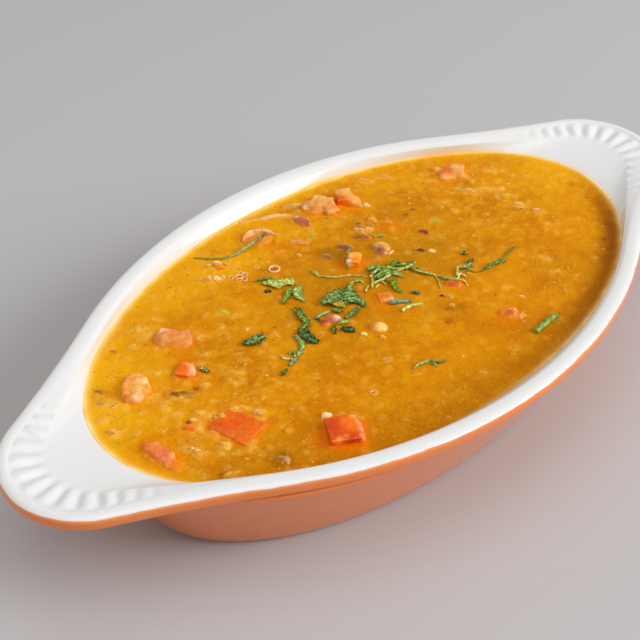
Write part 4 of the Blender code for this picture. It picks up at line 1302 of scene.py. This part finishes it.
# Bubbles of steam stopped in the skin as it set: a pale ring round a darker, glossy dome. Each has
# its place, its radius and how dark it is.
BUBBLES = (
    (-15.2, 32.0, 1.8, 1.0), (-18.8, 37.0, 0.8, 0.7), (-29.0, 38.4, 0.9, 0.8), (-26.7, 36.9, 1.2, 0.8),
    (-24.4, 36.4, 0.9, 0.8), (-26.2, 34.6, 0.9, 1.0), (-27.8, 35.6, 0.8, 0.7), (-25.0, 38.2, 0.8, 0.7),
    (-20.7, -26.7, 0.9, 0.2), (-34.0, -34.6, 1.1, 0.3), (-95.4, 14.4, 0.8, 0.5), (9.0, 40.0, 0.9, 0.3),
)


def make_bubbles():
    """(rings, domes): every bubble's ring, and its dome with a darker core."""
    dome = pressed_ball(3, 9.0, 0.04)
    bpy.ops.mesh.primitive_torus_add(major_segments=24, minor_segments=8, major_radius=1.0, minor_radius=0.26)
    torus = take_form(bpy.context.object)
    rings, domes = [], []
    for x, y, radius, dark in BUBBLES:
        top = skin_height(x, y)
        share = 0.25 + 0.75 * min(dark * 1.4, 1.0)
        pale = mixed(STEW, chart(246, 190, 110), share)
        deep = mixed(STEW, chart(190, 100, 20), dark)
        core = mixed(STEW, chart(116, 44, 10), dark)
        low, aside = 0.2 * radius * MM, 0.1 * radius * MM
        ring_size, dome_size, core_size = (
            tuple(radius * share for share in shares)
            for shares in ((1.0, 0.94, 1.1), (0.92, 0.88, 0.42), (0.42, 0.38, 0.3))
        )
        rings.append(((x * MM, y * MM, top), ring_size, 0.0, pale, pale, 0.12))
        domes.append(((x * MM, y * MM, top - low), dome_size, 0.0, deep, pale, 0.0))
        domes.append(((x * MM + aside, y * MM - aside, top), core_size, 0.0, core, core, 0.0))
    return scatter(torus, rings), scatter(dome, domes)


bubble_film = cooked("bubble_film", 300.0, 0.95, 1.04, 0.00003, 0.08, 0.0, 0.6)
bubble_rings, bubble_domes = make_bubbles()
finish_piece(bubble_rings, "bubble_rings", bubble_film, "dal")
finish_piece(bubble_domes, "bubble_domes", bubble_film, "dal")


# Crumbs of roasted spice and of leaf, and pale bits of lentil, each smaller than a grain of rice.
# They are copies of one broken ball, pressed flat into the skin.
def make_crumbs(count, sizes, colours, seed, crowded):
    """Crumbs strewn by chance: how many are tried, their half-sizes and their colours."""
    placed = []
    px, py = inside_dal(count, 0.96)
    for x, y in zip(px, py):
        if crowded and chance.uniform() > crowding(np.array([x]), np.array([y]))[0]:
            continue
        size = chance.uniform(*sizes)
        place = (x * MM, y * MM, skin_height(x, y) + size * 0.02 * MM)
        colour = colours[int(chance.integers(0, len(colours)))]
        halves = (size, size * chance.uniform(0.4, 0.9), size * 0.45)
        placed.append((place, halves, chance.uniform(0, 3.1), colour, colour, 0.0))
    return scatter(pressed_ball(2, seed, 0.5), placed)


crumb = cooked("spice_crumb", 900.0, 0.8, 1.1, 0.0001, 0.4, 0.0, 0.3)
SPICE = (chart(150, 86, 12), chart(122, 64, 10), chart(176, 106, 12), chart(164, 92, 12))
GREENS = (chart(150, 150, 30), chart(120, 124, 26))
# Each kind's name and slot, then its count, its smallest and largest half-size, its colours, its
# seed and whether it keeps to where lentils lie close.
CRUMBS = (
    ("spice_crumbs", "bean", 170, (0.12, 0.28), SPICE, 2.0, False),
    ("pale_crumbs", "chickpea", 330, (0.15, 0.4), (PEACH, AMBER, chart(240, 186, 100)), 5.0, True),
    ("leaf_crumbs", "onion", 60, (0.15, 0.4), GREENS, 7.0, False),
)
for name, slot, *how in CRUMBS:
    finish_piece(make_crumbs(*how), name, crumb, slot)


# Chopped coriander leaves, strewn over the middle. Each is a thin sheet, drawn along its rib, cut
# into teeth along both edges, and creased.
LEAF_THICKNESS = 0.22 * MM


def make_leaf(rib, halves, teeth, lift, curl, light, dark, seed):
    """A leaf along its rib in millimetres, with its half-widths, its teeth, its height over the dal
    and the height of its edges over its rib. It is light at its veins and dark between them, and its very
    edges are darkened, a painted shade."""
    bpy.ops.object.select_all(action="DESELECT")
    bpy.ops.mesh.primitive_grid_add(x_subdivisions=40, y_subdivisions=12, size=2.0)
    piece = bpy.context.object
    mesh = piece.data
    tints = []
    for vert in mesh.vertices:
        share, side = (vert.co.x + 1) / 2, vert.co.y
        place, way = along(rib, share)
        half = np.interp(share * (len(halves) - 1), range(len(halves)), halves)
        swing = 1.1 * noise.noise((share * 3.0, 4.0 if side > 0 else 8.0, seed))
        tooth = abs(math.sin(math.pi * (teeth * share + swing) + (0.9 if side > 0 else 0.0)))
        bite = 0.4 + 0.5 * noise.noise((share * 5.0, 2.0 if side > 0 else 6.0, seed))
        notch = 1.0 - bite * tooth**1.3 * abs(side) ** 1.6
        x = place.x - way.y * half * side * notch + 0.3 * noise.noise((share * 7.0, side * 3.0, seed))
        y = place.y + way.x * half * side * notch + 0.3 * noise.noise((share * 7.0, side * 3.0, seed + 5.0))
        crease = noise.noise((x / 0.8, y / 0.8, seed))
        ripple = 0.26 * noise.noise((x / 1.6, y / 1.6, seed)) + 0.12 * crease - 0.14 * tooth * abs(side)
        z = skin_height(x, y) / MM + lift + curl * side**2 + ripple + 0.25 * math.sin(math.pi * share)
        vert.co = Vector((x, y, z)) * MM
        side_vein = 0.8 * math.exp(-((math.sin(math.pi * teeth * share + 2.2 * side)) / 0.3) ** 2)
        vein = max(math.exp(-((side / 0.14) ** 2)), side_vein)
        # Painted shade: the very edges of the leaf are darkened into a dark outline.
        mix = min(max(0.3 + 0.55 * vein + 1.3 * crease, 0.0), 1.0) * (1.0 - 0.5 * abs(side) ** 8)
        tints.append(mixed(dark, light, mix))
    paint(mesh, tints)
    apply_modifier(piece, "SOLIDIFY", thickness=LEAF_THICKNESS, offset=-1.0)
    mesh.shade_smooth()
    return piece


LIME, LEAF, PINE = chart(230, 228, 104), chart(160, 188, 76), chart(62, 88, 18)
MOSS, BLUE_GREEN, YELLOWED = chart(126, 156, 54), chart(160, 196, 110), chart(220, 200, 80)
INK = chart(34, 56, 16)
# Each leaf's rib, half-widths, teeth, lift, curl, light and dark.
LEAVES = (
    (
        ((-25.2, 30.9), (-22.5, 29.9), (-20.6, 28.6), (-19.6, 27.0)), (0.1, 0.9, 1.2, 0.5), 3, 0.9, -0.3,
        LEAF, PINE,
    ),
    (
        ((-23.4, 28.8), (-22.1, 26.6), (-20.3, 24.5), (-17.6, 23.1), (-15.0, 22.0)),
        (0.3, 2.1, 2.8, 2.5, 2.1), 4, 0.6, 0.3, chart(224, 226, 122), chart(160, 178, 64),
    ),
    (
        ((-18.6, 19.6), (-20.8, 18.5), (-23.1, 17.2), (-25.5, 15.7)), (0.9, 1.6, 0.8, 0.3), 3, 0.5, 0.3,
        chart(170, 196, 80), chart(90, 130, 20),
    ),
    (
        ((-15.2, 18.4), (-17.3, 17.4), (-18.8, 16.5), (-19.6, 14.8), (-19.7, 11.7)),
        (0.4, 1.5, 1.9, 1.4, 0.2), 4, 0.6, 0.4, chart(206, 220, 130), MOSS,
    ),
    (((-25.9, 24.7), (-25.1, 24.2), (-24.1, 23.4)), (0.4, 0.8, 0.4), 2, 0.3, 0.1, MOSS, INK),
    (
        ((-23.6, 11.0), (-25.3, 8.4), (-26.4, 5.3), (-26.4, 2.9)), (1.0, 1.6, 1.3, 1.2), 4, 0.6, 0.4, LEAF,
        PINE,
    ),
    (((-26.7, 3.2), (-28.4, 2.2), (-29.8, 1.4)), (1.6, 1.1, 0.8), 2, 0.7, 0.2, BLUE_GREEN, PINE),
    (
        ((-30.3, 2.4), (-31.1, 0.6), (-31.3, -1.9), (-31.4, -4.3), (-30.6, -6.4)), (0.8, 1.7, 2.2, 1.8, 0.5),
        5, 0.6, 0.5, chart(110, 150, 70), INK,
    ),
    (
        ((-33.4, 0.9), (-34.7, -3.1), (-36.5, -4.9), (-38.6, -6.1), (-39.9, -6.7)), (1.3, 1.2, 1.1, 0.9, 0.6),
        3, 0.8, -0.5, chart(184, 208, 130), MOSS,
    ),
    (
        ((-39.6, -5.6), (-42.3, -7.4), (-44.6, -8.1)), (0.9, 1.3, 0.6), 2, 0.7, -0.4, chart(190, 206, 140),
        PINE,
    ),
    (((-46.1, -8.7), (-47.5, -9.1), (-49.2, -10.0)), (0.3, 0.8, 0.3), 1, 0.3, 0.1, LEAF, PINE),
    (
        ((-48.7, 9.5), (-47.2, 8.3), (-45.1, 7.6), (-43.0, 7.5), (-41.2, 7.4)), (0.4, 1.5, 2.2, 2.5, 1.3), 5,
        0.5, 0.5, BLUE_GREEN, INK,
    ),
    (
        ((-17.1, 6.6), (-13.8, 6.2), (-11.2, 6.0), (-8.4, 5.0)), (0.6, 2.6, 3.4, 3.6), 5, 0.9, 0.6,
        BLUE_GREEN, PINE,
    ),
    (
        ((-3.0, 7.6), (-5.6, 5.4), (-8.2, 2.6), (-9.4, 0.4)), (0.5, 2.4, 3.8, 2.4), 5, 1.3, -0.4, BLUE_GREEN,
        PINE,
    ),
    (
        ((-6.0, 3.8), (-6.9, 0.9), (-7.0, -2.0), (-7.0, -4.4)), (2.6, 2.4, 1.6, 0.3), 4, 1.0, -0.3,
        BLUE_GREEN, PINE,
    ),
    (((-14.4, 6.0), (-13.1, 2.6), (-12.3, 0.2)), (0.6, 1.9, 0.6), 3, 1.0, 0.3, YELLOWED, chart(168, 148, 40)),
    (((-16.2, 2.4), (-15.4, 0.6), (-14.9, -1.0)), (0.6, 0.9, 0.3), 2, 0.7, 0.2, LEAF, MOSS),
    (
        ((-8.6, -2.6), (-11.4, -3.3), (-13.6, -3.9), (-16.5, -3.9)), (0.6, 1.0, 1.0, 0.3), 3, 0.7, 0.2,
        BLUE_GREEN, PINE,
    ),
    (
        ((8.9, 1.0), (7.8, -2.3), (6.8, -4.9), (7.2, -6.6)), (0.8, 0.9, 0.6, 0.2), 2, 0.5, 0.5,
        chart(180, 210, 36), chart(120, 160, 16),
    ),
    (((10.6, 0.4), (9.6, -0.8), (8.4, -1.6)), (0.4, 0.7, 0.3), 2, 0.4, 0.2, chart(160, 196, 60), PINE),
    (((-19.9, -4.3), (-18.1, -4.9), (-16.8, -6.0)), (0.5, 1.2, 0.5), 2, 0.7, 0.2, LIME, MOSS),
    (((-20.4, -6.2), (-19.5, -8.5), (-18.2, -10.4)), (0.8, 1.4, 0.8), 3, 0.5, 0.4, chart(90, 130, 74), INK),
    (((-21.2, -4.0), (-22.6, -5.2), (-23.8, -6.9)), (0.4, 0.9, 0.3), 2, 0.4, 0.2, MOSS, INK),
    (((9.8, -8.7), (10.3, -9.9), (10.8, -11.2)), (0.9, 1.3, 0.8), 2, 0.6, -0.3, chart(130, 170, 110), INK),
    (((6.6, 7.0), (9.0, 6.6), (11.2, 5.8)), (0.6, 1.4, 0.6), 3, 0.9, 0.3, LEAF, PINE),
    (((8.6, 4.6), (10.8, 3.6), (13.0, 2.8)), (0.5, 1.3, 0.5), 3, 0.8, -0.3, chart(186, 210, 130), MOSS),
    (((13.0, 6.0), (15.6, 4.6), (18.4, 2.2)), (0.4, 1.0, 0.5), 3, 0.9, 0.3, LEAF, PINE),
    (((7.4, 9.6), (9.4, 8.8), (11.4, 8.4)), (0.4, 1.0, 0.4), 3, 0.8, 0.3, chart(176, 204, 120), MOSS),
    (((5.4, 4.4), (7.0, 3.2), (8.0, 1.6)), (0.4, 0.8, 0.3), 2, 0.5, 0.3, LEAF, PINE),
    (((7.2, 8.0), (9.6, 7.2), (12.0, 7.4)), (0.4, 1.2, 0.5), 3, 0.8, 0.4, LEAF, PINE),
    (((6.4, 6.0), (8.4, 4.8), (10.2, 5.4)), (0.5, 1.3, 0.4), 3, 0.6, -0.4, BLUE_GREEN, MOSS),
    (((10.6, 5.6), (12.6, 5.2), (14.4, 4.0)), (0.4, 1.2, 0.5), 3, 0.8, 0.4, LIME, MOSS),
    (((14.2, 6.6), (16.6, 5.6), (18.2, 4.2)), (0.4, 1.1, 0.4), 3, 0.6, 0.3, LEAF, PINE),
    (((16.8, 1.4), (19.6, 1.6), (22.0, 2.8)), (0.3, 0.9, 0.4), 3, 0.7, 0.3, LEAF, PINE),
    (((11.4, 2.8), (12.6, 0.8), (13.4, -1.6)), (0.5, 0.8, 0.2), 2, 0.7, 0.2, chart(190, 206, 130), LEAF),
    (((18.8, 0.9), (18.8, -2.1), (20.2, -5.2)), (0.6, 0.9, 0.5), 4, 0.6, 0.3, LEAF, PINE),
    (((30.6, -10.6), (32.6, -12.1), (35.4, -12.6)), (0.7, 0.9, 0.5), 3, 0.8, 0.3, chart(196, 202, 170), MOSS),
    (((34.6, -11.2), (36.0, -11.2), (37.4, -11.2)), (0.5, 0.8, 0.3), 2, 0.8, 0.2, MOSS, PINE),
    (
        ((37.0, -16.8), (40.2, -17.4), (43.0, -18.2), (45.0, -19.2)), (0.3, 0.9, 0.8, 0.2), 4, 0.5, 0.3,
        chart(150, 168, 50), chart(84, 110, 14),
    ),
    (
        ((37.4, -5.5), (38.3, -6.3), (39.3, -7.2)), (0.7, 1.0, 0.7), 2, 0.4, 0.5, chart(210, 200, 60),
        chart(90, 100, 14),
    ),
    (
        ((-66.0, 9.6), (-65.2, 8.2), (-64.8, 6.6)), (0.5, 1.0, 0.4), 2, 0.5, 0.3, chart(220, 220, 130),
        chart(90, 120, 14),
    ),
)


def join_pieces(pieces):
    """Makes the first of these pieces hold them all."""
    bpy.ops.object.select_all(action="DESELECT")
    for piece in pieces:
        piece.select_set(True)
    bpy.context.view_layer.objects.active = pieces[0]
    bpy.ops.object.join()
    return pieces[0]


leaves = join_pieces([make_leaf(*leaf, seed=3.0 * index) for index, leaf in enumerate(LEAVES)])
leaf_blade = cooked("coriander_leaf", 900.0, 0.5, 1.3, 0.0003, 0.34, 0.0, 0.25)
finish_piece(leaves, "coriander_leaves", leaf_blade, "onion")


# Coriander stems, cut with the leaves: thin juicy rods, some hooked or forked, pale where the
# knife went through.
def make_stem(points, radii, lift, colour, seed, end=None):
    """A stem along its points in millimetres, with its radii, its height over the dal and its
    colour, and another colour towards its last end."""
    curve = bpy.data.curves.new("stem", "CURVE")
    curve.dimensions = "3D"
    curve.bevel_depth = MM
    curve.bevel_resolution = 2
    curve.use_fill_caps = True
    steps = 8 * (len(points) - 1)
    spline = curve.splines.new("POLY")
    spline.points.add(steps)
    for index, point in enumerate(spline.points):
        share = index / steps
        place, _ = along(points, share)
        radius = np.interp(share * (len(radii) - 1), range(len(radii)), radii)
        radius *= 1.0 + 0.3 * noise.noise((index * 0.7, seed, 0.0))
        sway = 0.25 * noise.noise((index * 0.35, seed, 4.0))
        z = skin_height(place.x, place.y) / MM + radius * 0.5 + lift * math.sin(math.pi * share)
        point.co = ((place.x + sway) * MM, (place.y + sway) * MM, z * MM, 1.0)
        point.radius = radius
    piece = bpy.data.objects.new("stem", curve)
    bpy.context.scene.collection.objects.link(piece)
    bpy.ops.object.select_all(action="DESELECT")
    piece.select_set(True)
    bpy.context.view_layer.objects.active = piece
    bpy.ops.object.convert(target="MESH")
    piece = bpy.context.object
    first, last = Vector(points[0]), Vector(points[-1])
    tints = []
    for vert in piece.data.vertices:
        place = Vector((vert.co.x, vert.co.y)) / MM
        share = (place - first).length / ((place - first).length + (place - last).length + 1e-6)
        joint = 0.85 + 0.6 * noise.noise((place.x / 0.9, place.y / 0.9, seed))
        red, green, blue, _ = mixed(colour, end or colour, share)
        tints.append((red * joint, green * joint, blue * joint, 1.0))
    paint(piece.data, tints)
    piece.data.shade_smooth()
    return piece


STALK, PALE_STALK, DARK_STALK = chart(190, 196, 92), chart(216, 218, 130), chart(112, 128, 38)
# Each stem's points, radii, lift and colour, and the colour of its last end if that is another.
STEMS = (
    (
        ((-6.9, 21.4), (-6.8, 20.0), (-7.0, 18.5), (-3.3, 14.3), (1.1, 11.5), (5.0, 7.3)),
        (0.5, 0.55, 0.38, 0.36, 0.36, 0.3), 0.2, STALK,
    ),
    (
        ((8.5, 10.9), (9.1, 8.6), (11.3, 7.1), (13.0, 4.4), (17.3, 2.8)), (0.4, 0.5, 0.45, 0.4, 0.35), 0.7,
        LEAF,
    ),
    (((5.2, 6.5), (8.5, 6.9), (11.7, 6.8)), (0.35, 0.5, 0.3), 0.8, PALE_STALK),
    (((5.9, 6.4), (3.8, 3.8), (1.5, 2.0)), (0.35, 0.45, 0.4), 0.5, STALK),
    (((3.4, 3.6), (6.5, 2.4), (9.5, 2.4), (11.9, 2.6)), (0.4, 0.4, 0.4, 0.3), 0.6, PALE_STALK),
    (((5.9, 5.3), (8.6, 5.1), (10.8, 4.8), (12.7, 4.1)), (0.3, 0.4, 0.4, 0.3), 0.9, LEAF),
    (((9.7, 6.9), (9.7, 4.0), (9.5, 3.1)), (0.35, 0.4, 0.3), 0.8, MOSS),
    (((12.4, 2.7), (15.5, 2.1), (19.0, 1.2), (22.5, 2.0)), (0.4, 0.5, 0.6, 0.35), 0.5, STALK),
    (((15.7, 5.4), (17.8, 3.4), (20.6, 1.2)), (0.35, 0.45, 0.3), 0.6, LEAF),
    (((6.5, 2.4), (6.2, -0.1)), (0.3, 0.25), 0.3, STALK),
    (((2.7, 1.1), (4.6, 1.4)), (0.3, 0.25), 0.3, LIME),
    (((1.6, 3.6), (-1.7, 1.7)), (0.45, 0.4), 0.3, STALK),
    (((-3.1, 7.5), (-1.4, 8.1), (0.6, 7.3), (1.5, 6.0)), (0.5, 0.5, 0.45, 0.3), 0.6, LEAF),
    (
        ((-17.4, 2.7), (-20.4, 2.5), (-22.3, 2.4), (-23.4, 3.4)), (0.4, 0.45, 0.4, 0.3), 0.8,
        chart(164, 180, 130),
    ),
    (((-22.3, 2.4), (-23.2, 1.2)), (0.4, 0.3), 0.2, PINE),
    (
        ((0.3, -8.0), (3.0, -10.0), (6.1, -11.8)), (0.9, 1.0, 0.5), 0.3, chart(170, 192, 150),
        chart(76, 116, 66),
    ),
    (
        ((0.2, -13.4), (4.3, -13.9), (8.2, -15.1)), (0.6, 0.6, 0.4), 0.2, chart(230, 236, 140),
        chart(180, 200, 70),
    ),
    (
        ((19.4, 1.1), (18.8, -2.1), (20.6, -5.8), (21.3, -8.2), (20.7, -10.2), (18.1, -14.0)),
        (0.5, 0.6, 0.5, 0.35, 0.3, 0.25), 0.4, STALK,
    ),
    (((21.4, -8.4), (22.6, -10.1), (23.2, -12.5), (25.9, -15.0)), (0.3, 0.45, 0.5, 0.4), 0.5, LEAF),
    (
        ((25.9, -14.5), (28.5, -13.1), (28.9, -14.8), (29.5, -15.4)), (0.4, 0.4, 0.35, 0.2), 0.4,
        chart(232, 226, 130),
    ),
    (((27.2, -13.0), (29.9, -10.7), (31.4, -10.1)), (0.5, 0.5, 0.3), 0.6, chart(212, 206, 96)),
    (((26.2, -15.4), (26.6, -16.9), (25.9, -19.2)), (0.4, 0.35, 0.2), 0.3, chart(236, 226, 140)),
    (((31.4, -13.3), (32.9, -15.4), (35.1, -16.8), (37.8, -17.4)), (0.2, 0.22, 0.26, 0.4), 0.1, DARK_STALK),
    (
        ((37.8, -17.4), (42.7, -17.6), (46.5, -17.3), (51.4, -16.0), (54.2, -15.6)),
        (0.5, 0.55, 0.35, 0.4, 0.35), 0.3, MOSS, DARK_STALK,
    ),
    (
        ((-17.3, -35.4), (-14.6, -35.4), (-11.3, -36.5), (-9.4, -39.0), (-6.8, -39.5)),
        (0.3, 0.55, 0.5, 0.5, 0.25), 0.4, chart(196, 200, 110), DARK_STALK,
    ),
    (((-12.6, -36.0), (-11.2, -38.4), (-11.8, -39.8)), (0.3, 0.3, 0.2), 0.2, LEAF),
    (
        ((23.6, -50.1), (29.4, -49.6), (35.2, -49.3)), (1.0, 1.2, 0.95), 0.2, chart(146, 172, 72),
        chart(128, 160, 60),
    ),
    (
        ((-31.4, 55.7), (-29.8, 53.8), (-27.2, 50.5), (-23.3, 47.7), (-19.1, 46.9)),
        (0.2, 0.35, 0.4, 0.5, 0.6), 0.1, chart(150, 150, 40), chart(160, 160, 70),
    ),
    (
        ((-19.1, 46.9), (-16.4, 46.6), (-12.2, 46.4), (-7.0, 47.8), (-3.6, 48.8)), (0.6, 0.7, 0.65, 0.5, 0.3),
        1.5, chart(186, 180, 100), chart(110, 112, 50),
    ),
    (((-43.5, -2.9), (-43.5, -4.6), (-42.3, -6.0)), (0.3, 0.4, 0.4), 0.2, chart(232, 222, 150)),
    (((-41.0, -3.9), (-39.7, -4.1), (-39.8, -5.9)), (0.35, 0.45, 0.3), 0.4, MOSS),
    (((32.6, -12.2), (33.4, -14.8)), (0.3, 0.2), 0.2, STALK),
    (((22.6, 22.0), (25.2, 20.0)), (0.4, 0.3), 0.2, chart(170, 176, 80)),
    (
        ((12.4, 22.6), (9.4, 21.4), (7.0, 19.8), (4.2, 16.4), (3.0, 14.6)), (0.3, 0.45, 0.5, 0.45, 0.4), 1.2,
        chart(130, 150, 90), chart(150, 160, 70),
    ),
    (((-6.7, 22.6), (-6.2, 20.6)), (0.3, 0.3), 0.1, STALK),
)
stems = join_pieces([make_stem(*stem[:4], 1.7 * index, *stem[4:]) for index, stem in enumerate(STEMS)])
stem_skin = cooked("coriander_stem", 700.0, 0.8, 1.15, 0.0001, 0.26, 0.05, 0.4)
finish_piece(stems, "coriander_stems", stem_skin, "onion")


# The table is a plain pale floor. A wide soft light stands at the camera's right, and weaker ones
# fill from the left and from above.
bpy.ops.object.select_all(action="DESELECT")
bpy.ops.mesh.primitive_plane_add(size=8.0)
floor = bpy.context.object
floor.name = "table_floor"
made, tree, shader, _ = new_material("pale_table")
set_shader(tree, shader, Base_Color=chart(186, 184, 185), Roughness=0.8, Specular_IOR_Level=0.1)
floor.data.materials.append(made)


def soft_light(name, place, size, watts):
    """A square soft light that faces the middle of the dish."""
    turn = (Vector((0.0, 0.0, 0.03)) - Vector(place)).to_track_quat("-Z", "Y").to_euler()
    bpy.ops.object.light_add(type="AREA", location=place, rotation=turn)
    light = bpy.context.object
    light.name = name
    light.data.shape = "SQUARE"
    light.data.size = size
    light.data.energy = watts


soft_light("light_right", (0.9, -1.25, 0.94), 0.9, 25.5)
soft_light("light_left", (-0.9, 0.15, 0.9), 0.9, 2.2)
soft_light("light_above", (-0.1, -0.1, 1.3), 0.8, 3.0)
world = bpy.data.worlds.new("studio")
bpy.context.scene.world = world
world.use_nodes = True
background = world.node_tree.nodes["Background"]
background.inputs["Color"].default_value = (1.0, 1.0, 1.0, 1.0)
background.inputs["Strength"].default_value = 0.44
